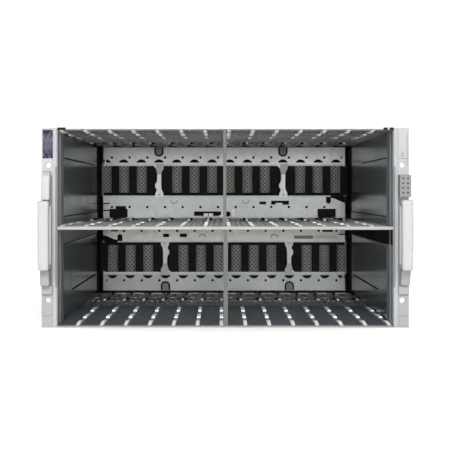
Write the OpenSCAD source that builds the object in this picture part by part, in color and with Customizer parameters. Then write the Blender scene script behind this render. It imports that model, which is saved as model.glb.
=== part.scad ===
// Blade server chassis: a 6U, 19-inch rack enclosure with two rows of vertical
// blade bays at the front and hot-swap modules at the rear.
// X runs to the right, Y to the rear, Z up. The origin is on the floor, under the middle.

/* [Enclosure] */
// Width over the ear return flanges, between the rack uprights
body_w = 449; // [445:1:450]
// Height of the enclosure, six rack units less running room
body_h = 262; // [260:1:264]
// Depth from the ear fronts to the rear frame
body_d = 900; // [880:10:940]
// Thickness of the outer sheet
skin = 1.2; // [1.0:0.1:1.5]

/* [Rack ears] */
// Width over both ears, the 19-inch panel width
ear_w = 482.6; // [482:0.1:483]
// Thickness of the ear plates
ear_t = 2.5; // [2:0.1:3]
// Distance between the two columns of rack holes
hole_pitch_x = 465.1; // [464.8:0.1:465.4]
// Distance between the two rows of rack holes, four rack units
hole_pitch_z = 177.8; // [177.6:0.1:178]
// Height of the lower row of rack holes
hole_low_z = 35.75; // [34:0.05:37]
// Radius of a rack hole
hole_r = 3.5; // [3.2:0.1:3.6]
// How far the front grips stand out
grip_reach = 42; // [38:1:45]
// How far the pull handles of the rear modules stand out
handle_reach = 35; // [30:1:40]

/* [Blade bays] */
// Number of blade bays in one row
bays = 14; // [14]
// Thickness of the shelf between the rows
shelf_t = 2.6; // [2:0.1:3]
// Height of a guide rail
rail_h = 2; // [1.5:0.1:3]
// Width of a guide rail
rail_w = 5; // [4:0.5:5]
// Length of a guide rail
rail_l = 290; // [250:10:300]
// Depth of the bays, from the ear fronts to the carrier plates
bay_d = 600; // [590:5:605]

/* [Midplane] */
// Thickness of the carrier plates
carrier_t = 1.5; // [1.2:0.1:1.5]
// Height of an air window
window_h = 52.8; // [50:0.2:54]
// Radius of a perforated air column
screen_r = 9; // [8:0.5:9]

/* [Rear modules] */
// Width of a fan or power module
mod_w = 107; // [105:0.5:108]
// Height of a fan or power module
mod_h = 85; // [84:0.5:86]
// Depth of every rear module
mod_d = 245; // [240:1:247]
// Width of a network or management module
wide_w = 216; // [214:1:218]
// Height of a network or management module
wide_h = 38; // [36:0.5:38.5]
// Radius of the bore of a large fan
fan_r = 38; // [36:0.5:38]
// Radius of the bore of a power supply fan
psu_fan_r = 29; // [27:0.5:30]
// Radius of the fan shafts
shaft_r = 3; // [2.5:0.1:3.5]
// Radial running clearance on shafts and pins
run_gap = 0.05; // [0.02:0.01:0.08]

/* [Hidden] */
$fn = 48;
e = 0.5;                          // overcut on cutting bodies

front = -body_d / 2;              // front plane of the ears
back = body_d / 2;                // rear plane of the frame
ret_t = 1.0;                      // ear return flange
wall_t = 1.0;                     // side skin
liner_t = 1.0;                    // bay liner
wall_x = body_w / 2 - ret_t;      // outer face of the side skin
liner_x = wall_x - wall_t;        // inner face of the side skin
in_x = liner_x - liner_t;         // inner face of the liner
plate_t = 1.2;                    // ceiling and floor plates
ceil_z = body_h - skin - plate_t; // underside of the ceiling
floor_z = skin + plate_t;         // top of the floor
mid_z = body_h / 2;
shelf_lo = mid_z - shelf_t / 2;
shelf_hi = mid_z + shelf_t / 2;
hem = 0.65;                       // how much the rolled hem stands over the shelf
pitch = 2 * in_x / bays;          // bay pitch
carrier_y = front + bay_d;        // front face of the carrier plates
board_y = carrier_y + 14;         // front face of the midplane board
board_t = 3;
strip_x = 216;                    // half width of the carrier plates
win_lo = mid_z + 41.8;            // lower edge of an upper window
win_hi = win_lo + window_h;
rear_y = carrier_y + 25;          // front edge of the rear frame sheets
shelf1 = 89;                      // rear shelf undersides
shelf2 = 171.8;
shelfm = 130.4;
rs = 1.2;                         // rear sheet thickness
mod_y = back - mod_d;             // front face of a rear module

function bay_edge(k) = -in_x + pitch * k;
function quarter_x(c) = (c < 2 ? -1 : 1) * ((c == 0 || c == 3) ? 167.3 : 55.75);

// The lower row is the upper row turned by half a turn about the middle of the front.
module half_turn() { translate([0, 0, mid_z]) rotate([0, 180, 0]) translate([0, 0, -mid_z]) children(); }
module box(lo, hi) { translate(lo) cube(hi - lo); }
// Cylinder along Y from y0 to y1
module ycyl(x, z, r, y0, y1) { translate([x, y1, z]) rotate([90, 0, 0]) cylinder(r = r, h = y1 - y0); }

// ---- Cage -------------------------------------------------------------------------------
module top_cover() {
  color("silver") difference() {
    box([-wall_x, front + ear_t, body_h - skin], [wall_x, back, body_h]);
    // hand-hold slots near the rear edge
    for (x = [-150, 150]) box([x - 30, back - 60, body_h - skin - e], [x + 30, back - 48, body_h + e]);
  }
}
module bottom_pan() {
  color("silver") box([-wall_x, front + ear_t, 0], [wall_x, back, skin]);
}
module side_wall(s) {
  color("darkgray") difference() {
    box([s > 0 ? liner_x : -wall_x, front + ear_t, skin], [s > 0 ? wall_x : -liner_x, back, body_h - skin]);
    // vent slots beside the rear modules
    for (i = [0 : 5]) for (z = [45, 215])
      box([s * liner_x - 2, 225 + i * 32, z - 14], [s * liner_x + 2, 231 + i * 32, z + 14]);
  }
}
module side_wall_left() { side_wall(-1); }
module side_wall_right() { side_wall(1); }
module bay_liner(s) {
  color("slategray")
    box([s > 0 ? in_x : -liner_x, front + ear_t, floor_z], [s > 0 ? liner_x : -in_x, front + 535, ceil_z]);
}
module bay_liner_left() { bay_liner(-1); }
module bay_liner_right() { bay_liner(1); }
module ceiling_plate() { color("dimgray") box([-liner_x, front + ear_t, ceil_z], [liner_x, carrier_y, body_h - skin]); }
module floor_plate() { color("dimgray") box([-liner_x, front + ear_t, skin], [liner_x, carrier_y, floor_z]); }
module mid_shelf() {
  color("gainsboro") union() {
    box([-in_x, front + 1, shelf_lo], [in_x, carrier_y, shelf_hi]);
    box([-in_x, front, shelf_lo - hem], [in_x, front + 6, shelf_hi + hem]);
  }
}
module rail_row() {
  for (k = [0 : bays - 1]) translate([bay_edge(k) + 5 - rail_w / 2, 0, 0]) {
    translate([0, front + 3, ceil_z - rail_h]) cube([rail_w, rail_l, rail_h]);
    translate([0, front + 8, shelf_hi]) cube([rail_w, rail_l - 5, rail_h]);
  }
}
module guide_rails_upper() { color("white") rail_row(); }
module guide_rails_lower() { color("white") half_turn() rail_row(); }
module centre_posts() {
  color("lightgray") {
    box([-2.7, front + 1, shelf_hi + hem], [1.4, front + 8, ceil_z]);
    box([-2.4, front + 1, floor_z], [3.4, front + 8, shelf_lo - hem]);
  }
}

// ---- Midplane -----------------------------------------------------------------------------
// Slot right through a carrier plate; lo and hi are its corners in X and Z
module slot(lo, hi) { box([lo[0], carrier_y - e, lo[1]], [hi[0], carrier_y + carrier_t + e, hi[1]]); }
module carrier_sheet() {
  y0 = carrier_y; y1 = carrier_y + carrier_t;
  // strip above the windows
  difference() {
    box([-strip_x, y0, win_hi], [strip_x, y1, body_h - skin]);
    for (k = [0 : bays - 1]) {
      // half-moon air cut-outs
      intersection() {
        ycyl(bay_edge(k) + 10, win_hi + 2.15, 9.75, y0 - e, y1 + e);
        box([bay_edge(k) - 2, y0 - e, win_hi + 5.9], [bay_edge(k) + 22, y1 + e, win_hi + 15]);
      }
      // locating holes
      ycyl(bay_edge(k) + 20.8, win_hi + 15.2, 2.25, y0 - e, y1 + e);
    }
  }
  // strip below the windows, with one corner cut away
  difference() {
    box([-strip_x, y0, mid_z + 0.3], [strip_x, y1, win_lo]);
    for (k = [0 : bays - 1]) ycyl(bay_edge(k) + 20.8, win_lo - 20.6, 2.25, y0 - e, y1 + e);
    translate([0, y1 + e, 0]) rotate([90, 0, 0]) linear_extrude(carrier_t + 2 * e)
      polygon([[191, win_lo + e], [191, win_lo - 4], [198, win_lo - 6], [206, win_lo - 9.5], [strip_x + e, win_lo - 14], [strip_x + e, win_lo + e]]);
    // tongue-shaped relief under the corner
    slot([182, win_lo - 10], [191, win_lo + e]);
    ycyl(186.5, win_lo - 10, 4.5, y0 - e, y1 + e);
    children();
  }
}
module carrier_upper() {
  color("lightgray") carrier_sheet() {
    slot([-54, mid_z + 5.3], [-5.6, mid_z + 13.3]);
    ycyl(6.9, mid_z + 8.7, 4.8, carrier_y - e, carrier_y + carrier_t + e);
    slot([84, mid_z + 28.5], [116, mid_z + 32.5]);
    slot([84, mid_z + 25.5], [92, mid_z + 29]);
    slot([104, mid_z + 25.5], [116, mid_z + 29]);
    slot([63, mid_z + 26], [75, mid_z + 31]);
  }
}
module carrier_lower() {
  color("lightgray") half_turn() carrier_sheet() {
    slot([98.7, mid_z + 26.5], [109.4, mid_z + 32.5]);
    slot([66.5, mid_z + 26.5], [79, mid_z + 32.5]);
    slot([190, mid_z + 19], [206, mid_z + 22.5]);
  }
}
// Waisted strut across a window, and the round-ended tab above it
module strut(x) {
  y1 = carrier_y;
  translate([x, y1, 0]) rotate([90, 0, 0]) linear_extrude(1.5)
    polygon([[-8, win_lo - 7], [8, win_lo - 7], [7.5, win_lo + 6], [4, win_lo + 16], [4, win_hi - 22],
             [8, win_hi - 8], [8, win_hi + 4.5], [-8, win_hi + 4.5], [-8, win_hi - 8], [-4, win_hi - 18],
             [-6, win_lo + 22], [-6, win_lo + 16], [-4, win_lo + 12], [-7.5, win_lo + 4]]);
  difference() {
    union() {
      box([x - 7, y1 - 1.5, win_hi + 25], [x + 7, y1, ceil_z - 1]);
      ycyl(x, win_hi + 25, 7, y1 - 1.5, y1);
    }
    ycyl(x, win_hi + 25, 2, y1 - 2, y1 + e);
  }
}
module carrier_pillars() {
  color("whitesmoke") {
    strut(bay_edge(3) + 10);
    strut(bay_edge(10) + 10);
    half_turn() { strut(bay_edge(3) + 10); strut(bay_edge(10) + 10); }
  }
}
module midplane_board() {
  color("darkgreen") difference() {
    union() {
      box([-214, board_y, 8], [214, board_y + board_t, body_h - 8]);
      // standoffs to the carrier plates
      for (x = [-205, -70, 70, 205]) for (z = [15, mid_z - 22, mid_z + 22, body_h - 15])
        ycyl(x, z, 3, carrier_y + carrier_t, board_y + 1);
    }
    for (k = [0 : bays - 1]) {
      box([bay_edge(k) + 3, board_y - e, win_lo + 2], [bay_edge(k) + 17, board_y + board_t + e, win_hi - 2]);
      half_turn() box([bay_edge(k) + 3, board_y - e, win_lo + 2], [bay_edge(k) + 17, board_y + board_t + e, win_hi - 2]);
    }
  }
}
module connector_row() {
  for (k = [0 : bays - 1]) {
    x = bay_edge(k) + 25.8;
    difference() {
      box([x - 5.5, carrier_y + 2.5, win_lo + 1.5], [x + 5.5, board_y, win_hi - 1.5]);
      // contact slots
      for (d = [-2.5, 2.5]) box([x + d - 0.8, carrier_y + 2, win_lo + 5], [x + d + 0.8, carrier_y + 9, win_hi - 5]);
    }
  }
}
module blade_connectors() { color([0.08, 0.08, 0.09]) { connector_row(); half_turn() connector_row(); } }
module screen_row() {
  // the struts take the place of the fourth and eleventh columns
  for (k = [0 : bays - 1]) if (k != 3 && k != 10) translate([bay_edge(k) + 10, board_y, win_lo + 0.5]) difference() {
    cylinder(r = screen_r, h = window_h + 11);
    translate([0, 0, -e]) cylinder(r = screen_r - 1, h = window_h + 12);
    translate([-20, 0, -e]) cube([40, 20, window_h + 14]);
  }
}
module air_screens() { color("gray") { screen_row(); half_turn() screen_row(); } }
// Front sockets on the carriers and the sockets that the rear modules plug into
module front_sockets() {
  for (x = [-188.7, 183]) difference() {
    box([x - 16, carrier_y - 4, mid_z + 3.2], [x + 16, carrier_y, mid_z + 18]);
    for (i = [0 : 3]) box([x - 12.5 + i * 6.5, carrier_y - 5, mid_z + 7], [x - 9 + i * 6.5, carrier_y - 1, mid_z + 14]);
  }
  // keyed crown of the left socket
  box([-193.7, carrier_y - 4, mid_z + 17.9], [-175.5, carrier_y, mid_z + 23]);
}
module power_sockets() {
  color([0.1, 0.1, 0.11]) {
    front_sockets();
    half_turn() front_sockets();
    for (c = [0 : 3]) for (z = [3.8, 175])
      box([quarter_x(c) - 20, board_y + board_t, z + 6], [quarter_x(c) + 20, mod_y - 6, z + 20]);
    for (x = [-111.5, 111.5]) for (z = [106, 147])
      box([x - 30, board_y + board_t, z], [x + 30, mod_y - 6, z + 10]);
  }
}

// ---- Rack ears ----------------------------------------------------------------------------
module rack_ear(s) {
  color("gainsboro") difference() {
    union() {
      box([s > 0 ? in_x : -ear_w / 2, front, 0], [s > 0 ? ear_w / 2 : -in_x, front + ear_t, body_h]);
      // return flange along the side skin
      box([s > 0 ? wall_x : -body_w / 2, front + 1, 0.5], [s > 0 ? body_w / 2 : -wall_x, front + 60, body_h - 0.5]);
    }
    for (z = [hole_low_z, hole_low_z + hole_pitch_z]) ycyl(s * hole_pitch_x / 2, z, hole_r, front - e, front + ear_t + e);
  }
}
module rack_ear_left() { rack_ear(-1); }
module rack_ear_right() { rack_ear(1); }
// Front handle: a deep grip on two shallower feet. The outline is in depth and height and is
// swept across the ear; low is the lower foot's depth at the ear's cover.
module ear_handle(s, low, upper) {
  r = grip_reach;
  color("whitesmoke") {
    translate([s > 0 ? ear_w / 2 - 12.6 : -ear_w / 2, front, 0]) rotate([90, 0, 90]) linear_extrude(12.6)
      difference() {
        polygon(concat([[0, 55.5], [-low, 55.5], [-22, 76.4], [-r, 76.4]], upper));
        // finger opening
        polygon([[1, 82], [1, 161], [-r + 9, 161], [-r + 9, 82]]);
      }
    // the bar is wider than its feet
    translate([s > 0 ? ear_w / 2 - 14.6 : -ear_w / 2, front, 0]) rotate([90, 0, 90]) linear_extrude(14.6)
      polygon([[-r + 9, 76.4], [-r, 76.4], [-r, upper[0][1]], [-r + 9, upper[0][1]]]);
  }
}
module ear_handle_left() { ear_handle(-1, 19, [[-grip_reach, 166.5], [-19, 166.5], [-15, 199], [-9, 204.5], [0, 206]]); }
module ear_handle_right() { ear_handle(1, 12, [[-grip_reach, 168], [0, 168]]); }
module badge_plate() { color([0.2, 0.17, 0.27]) box([-ear_w / 2 + 1.5, front - 2, body_h - 39.2], [-226.5, front, body_h - 2.3]); }
module marker_plate() {
  color("darkgray") difference() {
    box([226.8, front - 20, 171.6], [ear_w / 2, front, 200.3]);
    for (i = [0 : 3]) for (x = [231, 237.2]) box([x - 1.2, front - 20.5, 176 + i * 6.2], [x + 1.2, front - 19.4, 178.4 + i * 6.2]);
  }
}

// ---- Rear frame ---------------------------------------------------------------------------
module rear_shelves() {
  color("silver") for (z = [shelf1, shelfm, shelf2]) box([-liner_x, rear_y, z], [liner_x, back - 2, z + rs]);
}
module rear_dividers() {
  color("silver") {
    for (x = [-111.5, 0, 111.5]) {
      box([x - rs / 2, rear_y, skin], [x + rs / 2, back - 2, shelf1]);
      box([x - rs / 2, rear_y, shelf2 + rs], [x + rs / 2, back - 2, body_h - skin]);
    }
    box([-rs / 2, rear_y, shelf1 + rs], [rs / 2, back - 2, shelfm]);
    box([-rs / 2, rear_y, shelfm + rs], [rs / 2, back - 2, shelf2]);
  }
}
module fasteners() {
  color("lightgray") for (s = [-1, 1]) {
    // flat screw heads along the side skins
    for (y = [front + 90 : 130 : back - 20]) for (z = [10, mid_z, body_h - 10])
      translate([s > 0 ? wall_x : -wall_x - 0.8, y, z]) rotate([0, 90, 0]) cylinder(r = 3.5, h = 0.8, $fn = 24);
    // ear flange screws
    for (z = [25, 95, 165, 235])
      translate([s > 0 ? body_w / 2 : -body_w / 2 - 0.8, front + 45, z]) rotate([0, 90, 0]) cylinder(r = 3.5, h = 0.8, $fn = 24);
  }
}

// ---- Rear modules -------------------------------------------------------------------------
// Upright pull handle behind a module face; (x, z0, z1) place it
module pull(x, z0, z1) {
  difference() {
    box([x - 4, back - 0.01, z0], [x + 4, back + handle_reach, z1]);
    box([x - 5, back - 1, z0 + 8], [x + 5, back + handle_reach - 8, z1 - 8]);
  }
}
// Two lugs with a pin along Z
module clevis(x, z0, z1) {
  for (z = [z0, z1 - 2]) box([x - 3.2, back - 0.01, z], [x + 3.2, back + 8, z + 2]);
  translate([x, back + 4.6, z0 + 1]) cylinder(r = 1.5, h = z1 - z0 - 2, $fn = 32);
}
module small_case(cx, z0, fx, fr, socket) {
  zc = z0 + mod_h / 2;
  difference() {
    union() {
      difference() {
        box([cx - mod_w / 2, mod_y, z0], [cx + mod_w / 2, back, z0 + mod_h]);
        box([cx - mod_w / 2 + 1.2, mod_y + 1.2, z0 + 1.2], [cx + mod_w / 2 - 1.2, back - 1.2, z0 + mod_h - 1.2]);
      }
      // fan shroud
      ycyl(cx + fx, zc, fr + 2.5, back - 36, back);
      // plug that meets the midplane
      box([cx - 18, mod_y - 5.5, z0 + 8], [cx + 18, mod_y + 0.01, z0 + 17]);
      if (socket) box([cx + 11.5, back - 20, z0 + 51], [cx + 39.5, back + 1.5, z0 + 77]);
    }
    ycyl(cx + fx, zc, fr, back - 37, back + 1);
    // air inlet slots at the front
    for (i = [0 : 5]) box([cx - 44 + i * 15, mod_y - e, z0 + 26], [cx - 36 + i * 15, mod_y + 2, z0 + mod_h - 10]);
    if (socket) box([cx + 13.5, back - 16, z0 + 53], [cx + 37.5, back + 2, z0 + 75]);
  }
  // motor mount: spider, stator disc and shaft
  difference() {
    union() {
      for (a = [0, 60, 120]) translate([cx + fx, back - 33.5, zc]) rotate([0, a, 0]) cube([2 * fr + 2, 3, 3], center = true);
      ycyl(cx + fx, zc, 12, back - 35, back - 30);
      ycyl(cx + fx, zc, shaft_r, back - 31, back - 8);
    }
  }
  // finger guard: rings and a cross
  for (r = [fr * 0.36, fr * 0.66]) difference() {
    ycyl(cx + fx, zc, r + 1, back - 3, back - 1);
    ycyl(cx + fx, zc, r - 1, back - 4, back);
  }
  for (a = [45, 135]) translate([cx + fx, back - 2, zc]) rotate([0, a, 0]) cube([2 * fr + 2, 2, 2], center = true);
  if (socket) for (d = [[-6, -4], [6, -4], [0, 5]])
    box([cx + 25.5 + d[0] - 1, back - 17, z0 + 64 + d[1] - 3], [cx + 25.5 + d[0] + 1, back - 4, z0 + 64 + d[1] + 3]);
  pull(cx + 45, z0 + 22, z0 + 80);
  clevis(cx + 35, z0 + 3, z0 + 17);
}
module rotor(cx, z0, fx, fr, blades) {
  zc = z0 + mod_h / 2;
  translate([cx + fx, back - 9, zc]) rotate([90, 0, 0]) difference() {
    union() {
      cylinder(r = fr * 0.38, h = 19);
      intersection() {
        for (i = [0 : blades - 1]) rotate([0, 0, i * 360 / blades]) translate([fr * 0.66, 0, 9.5]) rotate([42, 0, 0])
          cube([fr * 0.66, 23, 1.6], center = true);
        translate([0, 0, 1]) cylinder(r = fr - 2, h = 17);
      }
    }
    translate([0, 0, -e]) cylinder(r = shaft_r + run_gap, h = 20);
  }
}
// Sprung thumb latch: barrel on the pin, press tab and short nose
module latch(x, z0) {
  difference() {
    union() {
      translate([x, back + 4.6, z0 + 2.3]) cylinder(r = 3.2, h = 9.4);
      box([x, back + 5.6, z0 + 2.3], [x + 16, back + 7.8, z0 + 11.7]);
      box([x + 14, back + 5.6, z0 + 2.3], [x + 16, back + 12, z0 + 11.7]);
      box([x - 6, back + 2.6, z0 + 2.3], [x, back + 4.6, z0 + 11.7]);
    }
    translate([x, back + 4.6, z0]) cylinder(r = 1.5 + run_gap, h = 14, $fn = 32);
  }
}
fan_z = 174.2;
psu_z = 2.6;
fan_x = -9;
psu_fan_x = -21;
module fan_case(c) { color("silver") small_case(quarter_x(c), fan_z, fan_x, fan_r, false); }
module psu_case(c) { color("gray") small_case(quarter_x(c), psu_z, psu_fan_x, psu_fan_r, true); }
module fan_rotor(c) { color("black") rotor(quarter_x(c), fan_z, fan_x, fan_r, 7); }
module psu_rotor(c) { color("black") rotor(quarter_x(c), psu_z, psu_fan_x, psu_fan_r, 7); }
module small_latch(c, z) { color("steelblue") latch(quarter_x(c) + 35, z + 3); }

// Network or management module with a row of ports
module wide_case(cx, z0, ports) {
  difference() {
    box([cx - wide_w / 2, mod_y, z0], [cx + wide_w / 2, back, z0 + wide_h]);
    box([cx - wide_w / 2 + 1.2, mod_y + 1.2, z0 + 1.2], [cx + wide_w / 2 - 1.2, back - 14, z0 + wide_h - 1.2]);
    // port recess
    box([cx - 92, back - 12, z0 + 12], [cx - 92 + ports * 16, back + 1, z0 + 26]);
    // air inlet
    for (i = [0 : 8]) box([cx - 80 + i * 18, mod_y - e, z0 + 22], [cx - 70 + i * 18, mod_y + 2, z0 + 32]);
  }
  box([cx - 28, mod_y - 5.5, z0 + (z0 < 120 ? 16 : 15.5)], [cx + 28, mod_y + 0.01, z0 + 23]);
  clevis(cx + 98, z0 + 12, z0 + 26);
}
module lever(x, z0) {
  difference() {
    union() {
      translate([x, back + 4.6, z0 + 2.3]) cylinder(r = 3.2, h = 9.4);
      box([x - 62, back + 5.6, z0 + 2.3], [x, back + 7.8, z0 + 11.7]);
      box([x - 62, back + 5.6, z0 + 2.3], [x - 59.8, back + 14, z0 + 11.7]);
    }
    translate([x, back + 4.6, z0]) cylinder(r = 1.5 + run_gap, h = 14, $fn = 32);
  }
}
low_z = shelf1 + rs + 1.1;
high_z = shelfm + rs + 1.1;
wide_x = 111.55;

top_cover();
bottom_pan();
side_wall_left();
side_wall_right();
bay_liner_left();
bay_liner_right();
ceiling_plate();
mid_shelf();
floor_plate();
guide_rails_upper();
guide_rails_lower();
centre_posts();
carrier_upper();
carrier_lower();
carrier_pillars();
midplane_board();
blade_connectors();
air_screens();
power_sockets();
rack_ear_left();
rack_ear_right();
ear_handle_left();
ear_handle_right();
badge_plate();
marker_plate();
rear_shelves();
rear_dividers();
fasteners();
fan_case(0);  // fan_1_case
fan_rotor(0);  // fan_1_rotor
small_latch(0, fan_z);  // fan_1_latch
fan_case(1);  // fan_2_case
fan_rotor(1);  // fan_2_rotor
small_latch(1, fan_z);  // fan_2_latch
fan_case(2);  // fan_3_case
fan_rotor(2);  // fan_3_rotor
small_latch(2, fan_z);  // fan_3_latch
fan_case(3);  // fan_4_case
fan_rotor(3);  // fan_4_rotor
small_latch(3, fan_z);  // fan_4_latch
psu_case(0);  // psu_1_case
psu_rotor(0);  // psu_1_rotor
small_latch(0, psu_z);  // psu_1_latch
psu_case(1);  // psu_2_case
psu_rotor(1);  // psu_2_rotor
small_latch(1, psu_z);  // psu_2_latch
psu_case(2);  // psu_3_case
psu_rotor(2);  // psu_3_rotor
small_latch(2, psu_z);  // psu_3_latch
psu_case(3);  // psu_4_case
psu_rotor(3);  // psu_4_rotor
small_latch(3, psu_z);  // psu_4_latch
color("darkslategray") wide_case(-wide_x, high_z, 8);  // switch_1_case
color("steelblue") lever(-wide_x + 98, high_z + 12);  // switch_1_lever
color("darkslategray") wide_case(wide_x, high_z, 8);  // switch_2_case
color("steelblue") lever(wide_x + 98, high_z + 12);  // switch_2_lever
color("dimgray") wide_case(-wide_x, low_z, 2);  // manager_1_case
color("steelblue") lever(-wide_x + 98, low_z + 12);  // manager_1_lever
color("dimgray") wide_case(wide_x, low_z, 2);  // manager_2_case
color("steelblue") lever(wide_x + 98, low_z + 12);  // manager_2_lever
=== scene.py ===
import math
import random

import bpy
from mathutils import Matrix, Vector


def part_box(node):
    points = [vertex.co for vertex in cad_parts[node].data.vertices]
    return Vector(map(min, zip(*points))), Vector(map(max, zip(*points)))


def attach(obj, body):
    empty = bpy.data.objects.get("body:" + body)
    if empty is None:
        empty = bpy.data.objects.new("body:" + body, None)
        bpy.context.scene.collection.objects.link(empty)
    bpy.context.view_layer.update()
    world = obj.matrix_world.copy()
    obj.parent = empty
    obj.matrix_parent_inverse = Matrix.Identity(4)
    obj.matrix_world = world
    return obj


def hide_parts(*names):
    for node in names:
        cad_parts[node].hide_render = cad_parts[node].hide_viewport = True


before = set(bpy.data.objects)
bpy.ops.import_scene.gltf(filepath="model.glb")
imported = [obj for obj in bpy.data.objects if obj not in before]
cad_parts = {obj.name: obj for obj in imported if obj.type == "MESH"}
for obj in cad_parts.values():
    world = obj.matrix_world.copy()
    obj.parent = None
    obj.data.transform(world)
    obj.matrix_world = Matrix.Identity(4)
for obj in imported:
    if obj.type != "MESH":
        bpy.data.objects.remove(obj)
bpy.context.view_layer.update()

MM = 0.001
scene = bpy.context.scene

# ------------------------------------------------------------------ measures, from the frame
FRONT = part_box("rack_ear_left")[0][1]
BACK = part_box("top_cover")[1][1]
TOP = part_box("top_cover")[1][2]
MIDZ = TOP / 2
IN_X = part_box("mid_shelf")[1][0]
FLOOR_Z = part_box("floor_plate")[1][2]
CEIL_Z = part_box("ceiling_plate")[0][2]
SHELF_LO = MIDZ - 0.0013
SHELF_HI = MIDZ + 0.0013
CARRIER_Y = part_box("carrier_upper")[0][1]
BOARD_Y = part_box("air_screens")[1][1]
WIN_LO = MIDZ + 0.0418
WIN_HI = WIN_LO + 0.0528
BAYS = 14
PITCH = 2 * IN_X / BAYS
EAR_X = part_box("rack_ear_right")[1][0]


def bay(k):
    return -IN_X + PITCH * k


# ------------------------------------------------------------------ materials
def tree(name):
    m = bpy.data.materials.new(name)
    m.use_nodes = True
    nt = m.node_tree
    nt.nodes.clear()
    out = nt.nodes.new("ShaderNodeOutputMaterial")
    sh = nt.nodes.new("ShaderNodeBsdfPrincipled")
    nt.links.new(sh.outputs[0], out.inputs[0])
    return m, nt, sh


def coords(nt, scale=(1, 1, 1)):
    tc = nt.nodes.new("ShaderNodeTexCoord")
    mp = nt.nodes.new("ShaderNodeMapping")
    mp.inputs["Scale"].default_value = scale
    nt.links.new(tc.outputs["Object"], mp.inputs[0])
    return mp.outputs[0]


def noise(nt, vec, scale, detail=3.0, rough=0.55, dist=0.0):
    n = nt.nodes.new("ShaderNodeTexNoise")
    n.inputs["Scale"].default_value = scale
    n.inputs["Detail"].default_value = detail
    n.inputs["Roughness"].default_value = rough
    n.inputs["Distortion"].default_value = dist
    nt.links.new(vec, n.inputs["Vector"])
    return n.outputs[0]


def voronoi(nt, vec, scale, feature="F1", out="Color"):
    n = nt.nodes.new("ShaderNodeTexVoronoi")
    n.feature = feature
    n.inputs["Scale"].default_value = scale
    nt.links.new(vec, n.inputs["Vector"])
    return n.outputs[out]


def ramp(nt, fac, stops):
    r = nt.nodes.new("ShaderNodeValToRGB")
    el = r.color_ramp.elements
    while len(el) > len(stops):
        el.remove(el[-1])
    while len(el) < len(stops):
        el.new(0.5)
    for e, (p, c) in zip(el, stops):
        e.position = p
        e.color = (c, c, c, 1) if isinstance(c, (int, float)) else (*c, 1)
    nt.links.new(fac, r.inputs[0])
    return r.outputs[0]


def maprange(nt, v, a, b, c, d):
    n = nt.nodes.new("ShaderNodeMapRange")
    for k, x in (("From Min", a), ("From Max", b), ("To Min", c), ("To Max", d)):
        n.inputs[k].default_value = x
    nt.links.new(v, n.inputs["Value"])
    return n.outputs[0]


def mix(nt, fac, a, b, mode="MIX"):
    n = nt.nodes.new("ShaderNodeMix")
    n.data_type = "RGBA"
    n.blend_type = mode
    for sock, v in ((n.inputs[0], fac), (n.inputs[6], a), (n.inputs[7], b)):
        if isinstance(v, (int, float)):
            sock.default_value = v
        elif isinstance(v, tuple):
            sock.default_value = (*v, 1) if len(v) == 3 else v
        else:
            nt.links.new(v, sock)
    return n.outputs[2]


def math_(nt, op, a, b=None):
    n = nt.nodes.new("ShaderNodeMath")
    n.operation = op
    for i, v in enumerate((a, b)):
        if v is None:
            continue
        if isinstance(v, (int, float)):
            n.inputs[i].default_value = v
        else:
            nt.links.new(v, n.inputs[i])
    return n.outputs[0]


def bump(nt, sh, height, strength=0.2, dist=0.0002):
    b = nt.nodes.new("ShaderNodeBump")
    b.inputs["Strength"].default_value = strength
    b.inputs["Distance"].default_value = dist
    nt.links.new(height, b.inputs["Height"])
    nt.links.new(b.outputs[0], sh.inputs["Normal"])


def scaled(c, k):
    return tuple(min(1.0, x * k) for x in c)


def sheet_metal(name, base, metallic=0.75, rough=(0.32, 0.5), brush=(1, 1, 1), spangle=0.0, grime=0.25, grime_col=None, spec=0.5):
    """Bare or plated sheet: crystal spangle, brushed grain, handling marks."""
    m, nt, sh = tree(name)
    v = coords(nt)
    vb = coords(nt, brush)
    big = noise(nt, v, 14, 4, 0.6)
    grain = noise(nt, vb, 900, 2, 0.5)
    cloud = noise(nt, v, 55, 5, 0.65, 0.4)
    col = mix(nt, maprange(nt, big, 0.3, 0.7, 0, 1), scaled(base, 0.9), scaled(base, 1.06))
    if spangle:
        sp = voronoi(nt, v, 150)
        gray = nt.nodes.new("ShaderNodeRGBToBW")
        nt.links.new(sp, gray.inputs[0])
        col = mix(nt, maprange(nt, gray.outputs[0], 0.1, 0.9, 0, spangle), col, scaled(base, 0.72))
        rv = maprange(nt, gray.outputs[0], 0, 1, rough[0], rough[1])
    else:
        rv = maprange(nt, cloud, 0.3, 0.7, rough[0], rough[1])
    gc = grime_col or scaled(base, 0.45)
    col = mix(nt, maprange(nt, cloud, 0.52, 0.8, 0, grime), col, gc)
    col = mix(nt, maprange(nt, grain, 0.35, 0.75, 0, 0.12), col, scaled(base, 0.6))
    nt.links.new(col, sh.inputs["Base Color"])
    nt.links.new(rv, sh.inputs["Roughness"])
    sh.inputs["Metallic"].default_value = metallic
    sh.inputs["Specular IOR Level"].default_value = spec
    bump(nt, sh, math_(nt, "ADD", grain, math_(nt, "MULTIPLY", cloud, 1.5)), 0.12, 0.0003)
    return m


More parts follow.
